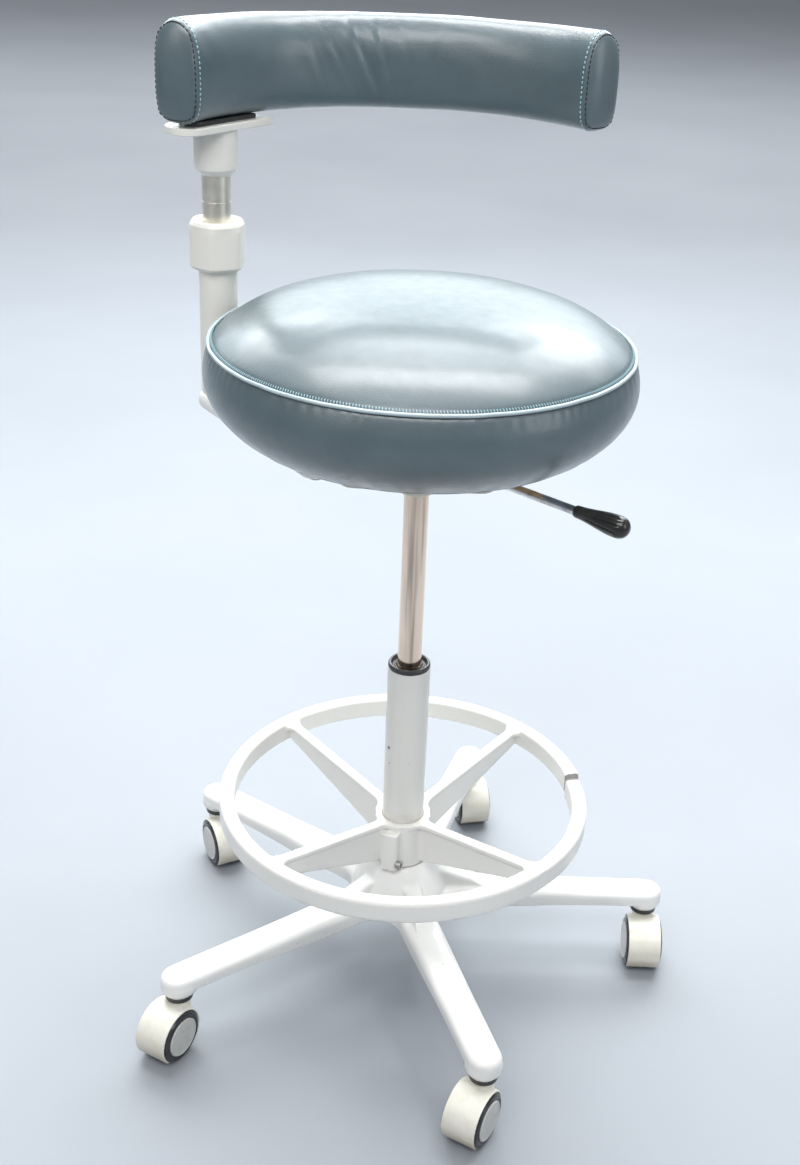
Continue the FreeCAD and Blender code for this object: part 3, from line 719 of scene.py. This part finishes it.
def even_out(mesh, values, rounds):
    """Averages each vertex's value with its neighbours', round after round."""
    edges = np.zeros(len(mesh.edges) * 2, np.int32)
    mesh.edges.foreach_get("vertices", edges)
    a, b = edges.reshape(-1, 2).T
    count = np.bincount(a, minlength=len(values)) + np.bincount(b, minlength=len(values))
    for _ in range(rounds):
        total = np.zeros_like(values)
        np.add.at(total, a, values[b])
        np.add.at(total, b, values[a])
        values = 0.5 * values + 0.5 * total / np.maximum(count, 1)[:, None]
    return values


def inflate(obj, held, cap, pressure=4.0, frames=20):
    """Cloth under pressure with its seams held, no point moving further than cap. Returns the points."""
    rest = get_points(obj.data)
    group = obj.vertex_groups.new(name="held")
    for index, weight in enumerate(held):
        if weight > 0:
            group.add([index], float(weight), "REPLACE")
    cloth = obj.modifiers.new("cloth", "CLOTH")
    for key, value in dict(quality=5, mass=0.4, tension_stiffness=18, compression_stiffness=12,
                           shear_stiffness=6, bending_stiffness=0.8, use_pressure=True,
                           uniform_pressure_force=pressure, vertex_group_mass="held").items():
        setattr(cloth.settings, key, value)
    cloth.settings.effector_weights.gravity = 0
    cloth.collision_settings.use_collision = False
    cloth.point_cache.frame_start = 1
    cloth.point_cache.frame_end = frames
    scene = bpy.context.scene
    for step in range(1, frames + 1):
        scene.frame_set(step)
    settled = made_real(obj)
    moved = get_points(settled)
    bpy.data.meshes.remove(settled)
    obj.modifiers.remove(cloth)
    obj.vertex_groups.remove(group)
    scene.frame_set(1)
    delta = even_out(obj.data, moved - rest, 40)
    size = np.linalg.norm(delta, axis=1)
    factor = np.where(size > 1e-9, cap * np.tanh(size / cap) / np.maximum(size, 1e-9), 0)
    return rest + delta * factor[:, None]


def subdivide(obj):
    """One smooth subdivision, made real."""
    finer = obj.modifiers.new("finer", "SUBSURF")
    finer.levels = 1
    finer.render_levels = 1
    mesh = made_real(obj)
    obj.modifiers.remove(finer)
    old = obj.data
    obj.data = mesh
    bpy.data.meshes.remove(old)
    for polygon in obj.data.polygons:
        polygon.use_smooth = True


def wave(points, scale, seed):
    """Smooth noise, mostly between -1 and 1, summed from a few seeded waves."""
    rng = np.random.default_rng(seed)
    total = np.zeros(len(points))
    for _ in range(9):
        heading = rng.normal(size=3)
        heading /= np.linalg.norm(heading)
        rate = rng.uniform(0.6, 1.5) / scale
        total += np.sin(points @ heading * rate * TAU + rng.uniform(0, TAU))
    return total / 4.5


SEAT_CROWN = 4.67           # power of the top's profile: flat in the middle, steep at the seam
SEAT_SHRINK = 0.0022        # the cushion starts smaller, and the pressure fills it out
SEAT_TUCK = 0.036           # how far the side runs in under the seat


def seat_top_z(share):
    return SEAT_SEAM_Z + (SEAT_TOP_Z - SEAT_SHRINK - SEAT_SEAM_Z) * (1 - share ** SEAT_CROWN)


def seat_side(share, turn):
    """The side from the seam at share 0 down to the edge of the board at share 1."""
    radius = SEAT_R - SEAT_TUCK * share ** 3.0 + 0.0108 * max(sin(pi * share), 0) ** 0.8
    z = SEAT_SEAM_Z - (SEAT_SEAM_Z - SEAT_LOW_Z - 0.0005) * share
    return polar(radius, TAU * turn, z)


def make_seat():
    edge_r = SEAT_R - SEAT_TUCK

    def top_cap(out, turn):
        return polar(SEAT_R * out, TAU * turn, seat_top_z(out))

    def low_cap(out, turn):
        tuck = 0.0012 * smooth_step(out, 0.90, 1.0)
        return polar(edge_r * out, TAU * turn, SEAT_LOW_Z + 0.0017 - tuck)

    shell = closed_cushion(64, 26, seat_side, top_cap, low_cap)
    cushion = piece("seat_cushion", *shell, "vinyl_teal", None, None)
    points = get_points(cushion.data)
    radius = np.hypot(points[:, 0], points[:, 1])
    seam = np.abs(radius - SEAT_R) + np.abs(points[:, 2] - SEAT_SEAM_Z) < 0.002
    under = points[:, 2] < SEAT_LOW_Z + 0.004
    held = np.where(seam | under, 1.0, 0.0)
    points[:, 2] += np.where(seam | under, 0, 0.00012 * wave(points, 0.13, 3)) * (radius < 0.2)
    set_points(cushion.data, points)
    set_points(cushion.data, inflate(cushion, held, 0.0032))
    subdivide(cushion)
    points = get_points(cushion.data)
    radius = np.hypot(points[:, 0], points[:, 1])
    angle = np.arctan2(points[:, 1], points[:, 0])
    away = np.hypot(radius - SEAT_R, points[:, 2] - SEAT_SEAM_Z)
    valley = np.exp(-(away / 0.0034) ** 2)
    inward = 1 - 0.0016 * valley / np.maximum(radius, 0.01)
    points[:, :2] *= inward[:, None]
    on_top = (points[:, 2] > SEAT_SEAM_Z + 0.0005) & (radius < SEAT_R)
    uneven = 2.2 * np.sin(angle * 9) + 1.5 * np.sin(angle * 23)
    gather = 0.00022 * np.exp(-(away / 0.011) ** 2) * np.sin(angle * 150 + uneven)
    points[:, 2] += np.where(on_top, gather, 0)
    side_pull = 0.0004 * np.exp(-(away / 0.014) ** 2) * np.sin(angle * 97 + 3 * np.sin(angle * 7))
    on_side = points[:, 2] < SEAT_SEAM_Z - 0.0005
    outward = np.where(on_side & (points[:, 2] > SEAT_LOW_Z + 0.01), side_pull, 0) / np.maximum(radius, 0.01)
    low_pull = 0.0004 * np.exp(-((points[:, 2] - SEAT_LOW_Z - 0.006) / 0.012) ** 2)
    low_pull = low_pull * np.sin(angle * 41 + 2 * np.sin(angle * 11)) / np.maximum(radius, 0.01)
    outward = outward + np.where(on_side & (radius > 0.17), low_pull, 0)
    points[:, :2] *= 1 + outward[:, None]
    set_points(cushion.data, points)
    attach(cushion, "seat")
    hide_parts("seat_cover", "seat_foam")

    make_seat_welt()
    make_seat_stitches()
    make_seat_underside()


def make_seat_welt():
    """The piped cord round the top seam, and a dark ring under it that paints the shadow in the gap beneath the
    cord.
    """
    cord_r = SEAT_R + 0.0018
    ring = []
    shadow_ring = []
    for i in range(360):
        a = TAU * i / 360
        wobble = 0.00012 * sin(a * 17) + 0.0001 * sin(a * 41)
        ring.append(polar(cord_r + wobble, a, SEAT_SEAM_Z + 0.0001 * sin(a * 29)))
        shadow_ring.append(polar(cord_r - 0.0009, a, SEAT_SEAM_Z - 0.0024))
    # the cord's pale teal is painted glare on the seat's vinyl
    welt = piece("seat_welt", *swept(ring, 0.0020, 12, closed=True), "piping_teal", "seat", "piping_teal")
    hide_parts("seat_piping")
    # a thin dark tube just under the cord: painted shadow of the gap beneath the piping
    piece("seat_seam_shadow", *swept(shadow_ring, 0.0010, 8, closed=True), "seam_dark", "seat", "vinyl_teal")


def make_seat_stitches():
    beads = []
    count = 440
    rng = random.Random(5)
    for i in range(count):
        a = TAU * i / count
        out = polar(1, a)
        centre = polar(SEAT_R - 0.0012, a, SEAT_SEAM_Z + 0.0029 + rng.uniform(-0.0001, 0.0001))
        along = (out * 0.72 - Vector((0, 0, 0.69))).normalized()
        along = (along + Vector((-sin(a), cos(a), 0)) * 0.18).normalized()
        up = (out * 0.69 + Vector((0, 0, 0.72))).normalized()
        up = (up - along * up.dot(along)).normalized()
        beads.append(stitch(centre, along, up, 0.0032, 0.00050))
    piece("seat_stitches", *together(beads), "thread_blue", "seat", "piping_teal")


def make_seat_underside():
    """The board, the vinyl folded over its edge and the staples that hold it."""
    board_low, board_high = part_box("seat_board")
    board_r = (board_high.x - board_low.x) / 2
    z = board_low.z
    outline = rounded([(0, z + 0.0012), (0.128, z + 0.0012), (0.128, z + 0.0008), (board_r, z + 0.0008),
                       (board_r, board_high.z - 0.001, 0.001), (0, board_high.z - 0.001)], 0.0006)
    lathed("seat_ply", outline, "plywood", "seat", "plywood", 120, "seat_board")
    outline = rounded([(0.1845, z + 0.0008), (0.181, z, 0.002), (0.160, z - 0.0001, 0.001),
                       (0.1525, z + 0.0001, 0.0005), (0.1523, z + 0.0009), (0.1845, z + 0.0016)], 0.0005)

    def ragged(angle, k):
        near_edge = 1.0 if k < len(outline) / 2 + 9 and outline[k][0] < 0.158 else 0.0
        return 1 + near_edge * (0.012 * sin(angle * 13) + 0.010 * sin(angle * 29 + 1))

    margin = turned(outline, 240, closed=True, shape=ragged)
    piece("seat_vinyl_margin", *margin, "vinyl_teal", "seat", "vinyl_teal")
    staples = []
    count = 84
    rng = random.Random(11)
    for i in range(count):
        a = TAU * i / count + rng.uniform(-0.012, 0.012)
        r = 0.166 + rng.uniform(-0.003, 0.003)
        turn = a + pi / 2 + rng.uniform(-0.35, 0.35)
        middle = polar(r, a, z - 0.0001)
        half = polar(0.005, turn)
        points = [middle + half * share + Vector((0, 0, rise))
                  for share, rise in ((-1, 0.0012), (-0.96, -0.0002), (0.96, -0.0002), (1, 0.0012))]
        staples.append(swept(points, 0.00045, 6))
    piece("seat_staples", *together(staples), "staple_steel", "seat", "bolt_steel")


# roundness across and upward, above and below the pad's middle
PAD_POWERS = ((2.1, 2.4), (3.2, 4.2))
PAD_END_IN = 0.0068         # how far the end panels' seams lie inside the pad's ends
PAD_BULGE = 0.0072          # how far an end panel swells past its seam


def pad_section(turn, half, low, high):
    """The pad's cross-section, rounder above than below. turn 0 is its outer side, 0.25 its top."""
    a = TAU * turn
    c, s = cos(a), sin(a)
    power_across, power_up = PAD_POWERS[0 if s >= 0 else 1]
    across = copysign(abs(c) ** (2 / power_across), c)
    upward = copysign(abs(s) ** (2 / power_up), s)
    return across * half, (low + high) / 2 + upward * (high - low) / 2


def pad_point(angle, across, z):
    r = PAD_R + across
    return Vector((PAD_X + r * cos(angle), PAD_Y + r * sin(angle), z))


def make_pad():
    low, high = pad_low.z - 0.0002, pad_high.z + 0.0012
    half = PAD_HALF - 0.0008
    middle_z, half_height = (low + high) / 2, (high - low) / 2
    inset = PAD_END_IN / PAD_R
    start, end = PAD_FROM + inset, PAD_TO - inset

    def side(share, turn):
        across, z = pad_section(turn, half, low, high)
        return pad_point(start + (end - start) * share, across, z)

    def cap_at(angle, sign):
        def cap(out, turn):
            reach = half_height * out
            across, z = pad_section(turn, half * out, middle_z - reach, middle_z + reach)
            swell = PAD_BULGE * (1 - out ** 3.0)
            return pad_point(angle + sign * swell / PAD_R, across, z)
        return cap

    shell = closed_cushion(16, 104, side, cap_at(start, -1), cap_at(end, 1))
    pad = piece("support_pad", *shell, "vinyl_teal", None, None)
    points = get_points(pad.data)
    angle = np.arctan2(points[:, 1] - PAD_Y, points[:, 0] - PAD_X)
    radius = np.hypot(points[:, 0] - PAD_X, points[:, 1] - PAD_Y)
    at_seam = (np.abs(angle - start) < 0.0015) | (np.abs(angle - end) < 0.0015)
    across = (radius - PAD_R) / half
    upward = (points[:, 2] - middle_z) / half_height
    over, under = [np.abs(across) ** a + np.abs(upward) ** b for a, b in PAD_POWERS]
    on_rim = np.where(upward > 0, over, under) > 0.9
    over_post = np.abs(angle - atan2(POST_Y - PAD_Y, POST_X - PAD_X)) < 0.26
    bottom = (points[:, 2] < low + 0.0006) & over_post
    held = np.where(at_seam & on_rim | bottom, 1.0, 0.0)
    push = 0.0003 * wave(points, 0.12, 8)
    points[:, 2] += np.where(held > 0, 0, push * np.sign(upward))
    set_points(pad.data, points)
    set_points(pad.data, inflate(pad, held, 0.0030, 3.0))
    subdivide(pad)
    points = crease_pad(get_points(pad.data), start, end, middle_z, half, half_height)
    set_points(pad.data, points)
    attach(pad, "support")
    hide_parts("support_cover", "support_foam", "support_core")
    make_pad_stitches(pad, start, end)


def crease_pad(points, start, end, middle_z, half, half_height):
    """Seam valleys at the end panels, and the drag creases of a cover pulled round a curve."""
    dx = points[:, 0] - PAD_X
    dy = points[:, 1] - PAD_Y
    angle = np.arctan2(dy, dx)
    radius = np.hypot(dx, dy)
    level = points[:, 2] - middle_z
    away = (radius - PAD_R) / radius
    out = np.stack([away * dx, away * dy, level * 0.6], 1)
    size = np.linalg.norm(out, axis=1)
    out = out / np.maximum(size, 1e-6)[:, None]
    depth = np.zeros(len(points))
    height = level / half_height
    shell = smooth_step(np.maximum(np.abs(radius - PAD_R) / half, np.abs(height)), 0.75, 0.95)
    for place in (start, end):
        gap = (angle - place) * PAD_R
        depth += 0.0016 * np.exp(-(gap / 0.0024) ** 2) * shell
        depth += 0.0005 * np.exp(-((np.abs(gap) - 0.0075) / 0.0020) ** 2) * shell
    inner = smooth_step((PAD_R - radius) / half, 0.2, 0.9)
    folds = ((radians(104.0), 0.10, 0.0011, 0.9), (radians(98.5), 0.07, 0.0009, 0.9),
             (radians(111.0), 0.12, 0.0004, 0.7), (radians(92.0), 0.08, 0.0004, 0.7),
             (radians(86.0), -0.06, 0.0003, 0.7), (radians(118.0), 0.09, 0.0003, 0.7))
    for place, slant, deep, reach in folds:
        gap = (angle - place - slant * height) * PAD_R
        window = np.exp(-((height - 0.05) / reach) ** 4)
        depth += deep * np.exp(-(gap / 0.0042) ** 2) * inner * window
        depth -= 0.6 * deep * np.exp(-((gap - 0.008) / 0.006) ** 2) * inner * window
    depth += 0.00022 * wave(points, 0.035, 21) * smooth_step(size, 0.015, 0.03)
    return points - out * depth[:, None]


def stitch_places(pad, angle, count):
    """Places spaced evenly round the pad at an angle: the point on its skin, outward, and ahead."""
    middle_z = (pad_low.z + pad_high.z) / 2
    steps = count * 4
    ring = []
    for i in range(steps):
        across, z = pad_section(i / steps, PAD_HALF + 0.004, pad_low.z - 0.004, pad_high.z + 0.004)
        ring.append(pad_point(angle, across, z))
    lengths = [0.0]
    for a, b in zip(ring, ring[1:] + ring[:1]):
        lengths.append(lengths[-1] + (b - a).length)
    places = []
    for k in range(count):
        target = lengths[-1] * k / count
        j = max(i for i in range(steps) if lengths[i] <= target)
        after = ring[(j + 1) % steps]
        spot = ring[j].lerp(after, (target - lengths[j]) / (lengths[j + 1] - lengths[j]))
        core = pad_point(angle, 0, middle_z + 0.75 * (spot.z - middle_z))
        hit, where, normal, _ = pad.ray_cast(spot, (core - spot).normalized())
        if hit:
            ahead = (after - ring[j]).normalized()
            places.append((where, normal, (ahead - normal * ahead.dot(normal)).normalized()))
    return places


def make_pad_stitches(pad, start, end):
    """A dark seam thread round each end panel, and a lighter row of topstitching beside it."""
    bpy.context.view_layer.update()
    for look, offset, count, length, width in (("thread_black", 0.0, 50, 0.0046, 0.00075),
                                               ("thread_blue", 0.0062, 54, 0.0034, 0.00085)):
        beads = []
        for angle in (start + offset / PAD_R, end - offset / PAD_R):
            for where, normal, ahead in stitch_places(pad, angle, count):
                beads.append(stitch(where + normal * 0.0001, ahead, normal, length, width))
        piece("support_" + look, *together(beads), look, "support", "vinyl_teal")


# ---- lever
def make_lever():
    turn = Matrix.Rotation(LEVER_TURN, 4, "Z") @ Matrix.Translation((0, 0, LEVER_Z))
    lay = turn @ Matrix.Rotation(pi / 2, 4, "Y")
    rod = [(0, 0.040), (LEVER_R, 0.040, 0.001), (LEVER_R, 0.2105), (0.0044, 0.2110), (0, 0.2110)]
    collar = [(0.0052, 0.036), (0.0066, 0.038, 0.001), (0.0066, 0.052, 0.001), (LEVER_R, 0.0535)]
    parts = [turned(rounded(outline, 0.0006), 48, matrix=lay) for outline in (rod, collar)]
    rod_piece = piece("lever_rod", *together(parts), "chrome", "lever", "chrome")
    bar = bmesh.new()
    bmesh.ops.create_cube(bar, size=1.0)
    bmesh.ops.scale(bar, vec=(0.050, 0.0096, 0.0084), verts=bar.verts)
    bmesh.ops.translate(bar, vec=(0.020, 0, 0.0018), verts=bar.verts)
    bmesh.ops.bevel(bar, geom=list(bar.edges), offset=0.0012, segments=3, affect="EDGES", profile=0.5)
    bar.transform(turn)
    mesh = bpy.data.meshes.new("lever_blade")
    bar.to_mesh(mesh)
    bar.free()
    finish_piece("lever_blade", mesh, "bolt_steel", "lever", "chrome")
    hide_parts("height_lever")
    make_grip(lay)


def make_grip(lay):
    """The fluted grip, thickest near its end."""
    start, end = 0.211, 0.275
    profile = []
    steps = 40
    for i in range(steps + 1):
        t = i / steps
        body_r = 0.0064 + (0.0114 - 0.0064) * smooth_step(t, 0.0, 0.78)
        tip = sqrt(max(0.0, 1 - max(0.0, (t - 0.80) / 0.20) ** 2.4))
        profile.append((body_r * tip, start + (end - start) * t))
    profile[0] = (0.0058, start)
    profile.insert(0, (LEVER_R, start))
    flutes = 9

    def fluted(angle, k):
        t = (profile[k][1] - start) / (end - start)
        window = smooth_step(t, 0.16, 0.34) * (1 - smooth_step(t, 0.80, 0.92))
        groove = max(0.0, cos(angle * flutes)) ** 3
        return 1 - 0.135 * window * groove

    shell = turned(profile, 144, shape=fluted, matrix=lay)
    grip = piece("lever_knob", *shell, "grip_black", "lever", "grip_black")
    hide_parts("lever_grip")


# ---- side post
def shape_arm(points):
    """The arm's edges rounded right over, so that its end under the post is a bulb."""
    low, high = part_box("support_arm")
    post = np.array([POST_X, POST_Y])
    inner_end = np.array([-0.105, -0.074])
    run = inner_end - post
    share = np.clip((points[:, :2] - post) @ run / (run @ run), 0, 1)
    centre = post + share[:, None] * run
    offset = points[:, :2] - centre
    edge = smooth_step(np.linalg.norm(offset, axis=1), 0.010, 0.022)
    middle = (low.z + high.z) / 2
    lift = np.clip(np.abs(points[:, 2] - middle) / ((high.z - low.z) / 2), 0, 1)
    pull = 0.30 * edge * (1 - np.sqrt(1 - 0.98 * lift ** 2))
    points[:, :2] = centre + offset * (1 - pull)[:, None]
    return points


def shape_spacer(points):
    """The block's edge set in from the plate's, so that only its shadow line shows."""
    post = np.array([POST_X, POST_Y])
    points[:, :2] = post + (points[:, :2] - post) * 0.80
    return points


def make_nut(place):
    """The clamp nut: a hexagon with rounded corners, rounder towards its top."""
    z0, z1 = nut_low.z, nut_high.z
    corner = 0.0312
    bore = POST_R + 0.0004
    outline = rounded([(bore, z0 + 0.001), (bore + 0.0012, z0, 0.0006), (0.0285, z0, 0.0008),
                       (corner, z0 + 0.0032, 0.0008), (corner, z1 - 0.0100, 0.006),
                       (0.0303, z1 - 0.0040, 0.003), (0.0275, z1, 0.0022), (0.0215, z1, 0.0010),
                       (0.0205, z1 - 0.0016, 0.0006), (0.0176, z1 - 0.0020, 0.0006),
                       (0.0165, z1 - 0.0046), (0.0165, z1 - 0.010)], 0.001)
    rows = []
    for radius, height in outline:
        faceted = 1.0 if height < z1 - 0.0060 else 0.5
        rows.append(faceted * min(1.0, max(0.0, (radius - 0.0225) / 0.006)))

    def nut_shape(angle, k):
        face = hexed(angle - radians(25.0), 0.972) / 0.972
        return 1 + 0.62 * rows[k] * (face - 1)

    lathed("post_nut", outline, "tube_white", "nut", "tube_white", 144, "clamp_nut",
           shape=nut_shape, matrix=place)


def make_post():
    place = Matrix.Translation((POST_X, POST_Y, 0))
    z0, z1 = post_low.z, nut_high.z - 0.024
    outline = rounded([(0.0055, z0 + 0.0002), (POST_R, z0 + 0.0002, 0.001), (POST_R, z1),
                       (POST_R - 0.004, z1)], 0.001)
    lathed("post_outer", outline, "tube_white", "seat", "tube_white", replaces="post_tube", matrix=place)

    groove = 0.906
    outline = rounded([(0, inner_low.z), (INNER_R, inner_low.z, 0.001), (INNER_R, groove - 0.0004, 0.0001),
                       (INNER_R - 0.0003, groove - 0.0003), (INNER_R - 0.0003, groove + 0.0003),
                       (INNER_R, groove + 0.0004, 0.0001), (INNER_R, inner_high.z, 0.001),
                       (0, inner_high.z)], 0.0003)
    lathed("post_inner", outline, "satin_steel", "post", "satin_steel", replaces="inner_post", matrix=place)
    make_nut(place)

    z0, z1 = collar_low.z, collar_high.z
    outline = rounded([(INNER_R + 0.0002, z0 + 0.001), (0.0162, z0, 0.0004), (0.0172, z0, 0.0006),
                       (COLLAR_R, z0 + 0.0066, 0.0015), (COLLAR_R, z1 - 0.0015),
                       (COLLAR_R + 0.0006, z1 - 0.0002), (0, z1 - 0.0002)], 0.0008)
    lathed("post_collar", outline, "tube_white", "support", "tube_white", replaces="pivot_collar",
           matrix=place)
    cast_copy("support_arm_casting", "support_arm", 0.0011, 5, "cast_white", "seat", "cast_white",
              shape_arm)
    cast_copy("support_plate_casting", "support_plate", 0.0007, 4, "tube_white", "support", "cast_white")
    cast_copy("support_spacer_block", "support_spacer", 0.0008, 3, "bush_black", "support", "bush_black",
              shape_spacer)
    cast_copy("seat_pan_pressing", "seat_pan", 0.0010, 3, "pan_ivory", "seat", "pan_ivory")


# ---- casters
TREAD = [(0.0080, 0.0045), (0.0200, 0.0045, 0.001), (0.0215, WHEEL_IN, 0.001), (0.0288, WHEEL_IN, 0.0012),
         (WHEEL_R, 0.0042, 0.0008), (WHEEL_R, 0.0192, 0.002), (0.0286, 0.0214, 0.0016),
         (0.0262, 0.0221, 0.0012), (0.0252, 0.0213, 0.0006), (0.0236, 0.0211, 0.0004),
         (0.0230, 0.0221, 0.0004), (0.0228, 0.0205)]
DISC = [(0.0045, 0.0060), (0.0205, 0.0060), (0.0220, 0.0200), (0.0227, 0.0212, 0.0003),
        (0.0227, 0.0226, 0.0008), (0.0216, 0.0235, 0.0008), (0.0206, 0.0231, 0.0006),
        (0.0196, 0.0229, 0.0008), (0.0060, 0.0232, 0.004), (0, 0.0232)]


def make_wheel(caster, side):
    """A tyre and its disc, turned about the wheel's joint with the disc outward."""
    body = "%s_%s" % (caster, side)
    wheel = "%s_wheel_%s" % (caster, side)
    joint = next(j for j in frame["joints"] if j["name"] == "%s_spin_%s" % (caster, side))
    low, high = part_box(wheel)
    pivot = Vector(joint["pos_m"])
    axis = Vector(joint["axis"]).normalized()
    if ((low + high) / 2 - pivot).dot(axis) < 0:
        axis = -axis
    matrix = Matrix.Translation(pivot) @ axis.to_track_quat("Z", "Y").to_matrix().to_4x4()
    lathed("%s_tyre_%s" % (caster, side), rounded(TREAD, 0.0006, 3), "wheel_dark", body, "wheel_dark",
           72, wheel, matrix=matrix)
    lathed("%s_disc_%s" % (caster, side), rounded(DISC, 0.0006, 3), "disc_grey", body, "wheel_dark",
           72, matrix=matrix)


def make_casters():
    for k in range(1, ARM_COUNT + 1):
        caster = "caster_%d" % k
        cast_copy(caster + "_shell", caster + "_hood", 0.0008, 4, "hood_ivory", caster, "hood_ivory")
        make_wheel(caster, "left")
        make_wheel(caster, "right")


# ---- carried-over nodes
def dress_cad_nodes():
    """Every CAD node still shown gets the finish of its slot."""
    for entry in frame["record"]["subparts"]:
        data = frame["nodes"][entry["node"]].data
        data.materials.clear()
        data.materials.append(LOOKS[entry["material_slot"]])


# ---- stage
def make_floor():
    work = bmesh.new()
    bmesh.ops.create_grid(work, x_segments=40, y_segments=40, size=20.0)
    mesh = bpy.data.meshes.new("floor")
    work.to_mesh(mesh)
    work.free()
    look = new_material("pale_floor", Roughness=0.55)
    tone = spread(look, 1.3, 4.0, 0.3, 0.7)
    shade = blend_colours(look, tone, (0.30, 0.32, 0.35), (0.275, 0.295, 0.325))
    join(look, shade, shader_of(look).inputs["Base Color"])
    set_bump(look, noise_of(look, 120.0, 3.0), 0.0004, 0.2)
    mesh.materials.append(look)
    floor = bpy.data.objects.new("floor", mesh)
    bpy.context.scene.collection.objects.link(floor)


# name, place, target, width, height, radiance and colour of each light
LIGHTS = (
    ("low_window", (-0.4, 3.1, 1.95), (0, 0, 0.84), 6.5, 1.3, 2.1, (0.84, 0.96, 1.0)),
    ("back_softbox", (0.0, 2.4, 3.0), (0, 0, 0.84), 4.2, 1.9, 3.7, (0.92, 0.98, 1.0)),
    ("overhead_strip", (0.0, 0.60, 3.2), (0, 0.60, 0), 2.8, 0.8, 12.5, (1, 1, 1)),
    ("front_softbox", (-0.2, -1.8, 2.9), (0, 0, 1.0), 2.8, 1.2, 5.4, (1, 1, 1)),
    ("key_softbox", (-2.3, -2.3, 2.2), (0, 0, 0.55), 1.3, 1.3, 2.6, (1.0, 0.97, 0.93)),
    ("fill_softbox", (2.6, -1.4, 1.5), (0, 0, 0.5), 1.2, 1.6, 2.4, (0.94, 0.97, 1.0)),
    ("backdrop_wash", (0.0, 5.6, 4.4), (0, 5.4, 0), 10.0, 4.0, 4.0, (1, 1, 1)),
)


def make_lights():
    for name, place, target, width, height, radiance, colour in LIGHTS:
        data = bpy.data.lights.new(name, "AREA")
        data.shape = "RECTANGLE"
        data.size = width
        data.size_y = height
        data.energy = radiance * pi * width * height
        data.color = colour
        light = bpy.data.objects.new(name, data)
        light.location = place
        light.rotation_mode = "QUATERNION"
        light.rotation_quaternion = (Vector(target) - Vector(place)).to_track_quat("-Z", "Y")
        bpy.context.scene.collection.objects.link(light)
    world = bpy.data.worlds.new("studio")
    world.use_nodes = True
    background = world.node_tree.nodes["Background"]
    background.inputs["Color"].default_value = (0.84, 0.90, 0.97, 1)
    background.inputs["Strength"].default_value = 0.38
    bpy.context.scene.world = world
    bpy.context.scene.view_settings.view_transform = "Standard"


def make_camera():
    data = bpy.data.cameras.new("camera")
    data.sensor_width = 36.0
    data.lens = 45.51
    data.shift_x = -0.0343
    data.clip_start = 0.05
    data.clip_end = 60.0
    camera = bpy.data.objects.new("camera", data)
    camera.location = (0.0, -1.4832, 1.2593)
    pitch = radians(90 - 26.63)
    yaw = radians(-1.18)
    roll = radians(3.0)
    turn = Matrix.Rotation(yaw, 4, "Z") @ Matrix.Rotation(pitch, 4, "X") @ Matrix.Rotation(roll, 4, "Z")
    camera.rotation_mode = "QUATERNION"
    camera.rotation_quaternion = turn.to_quaternion()
    bpy.context.scene.collection.objects.link(camera)
    bpy.context.scene.camera = camera


make_camera()
make_lights()
make_floor()
dress_cad_nodes()
make_base()
make_column()
make_gas_lift()
make_foot_ring()
make_seat()
make_pad()
make_lever()
make_post()
make_casters()
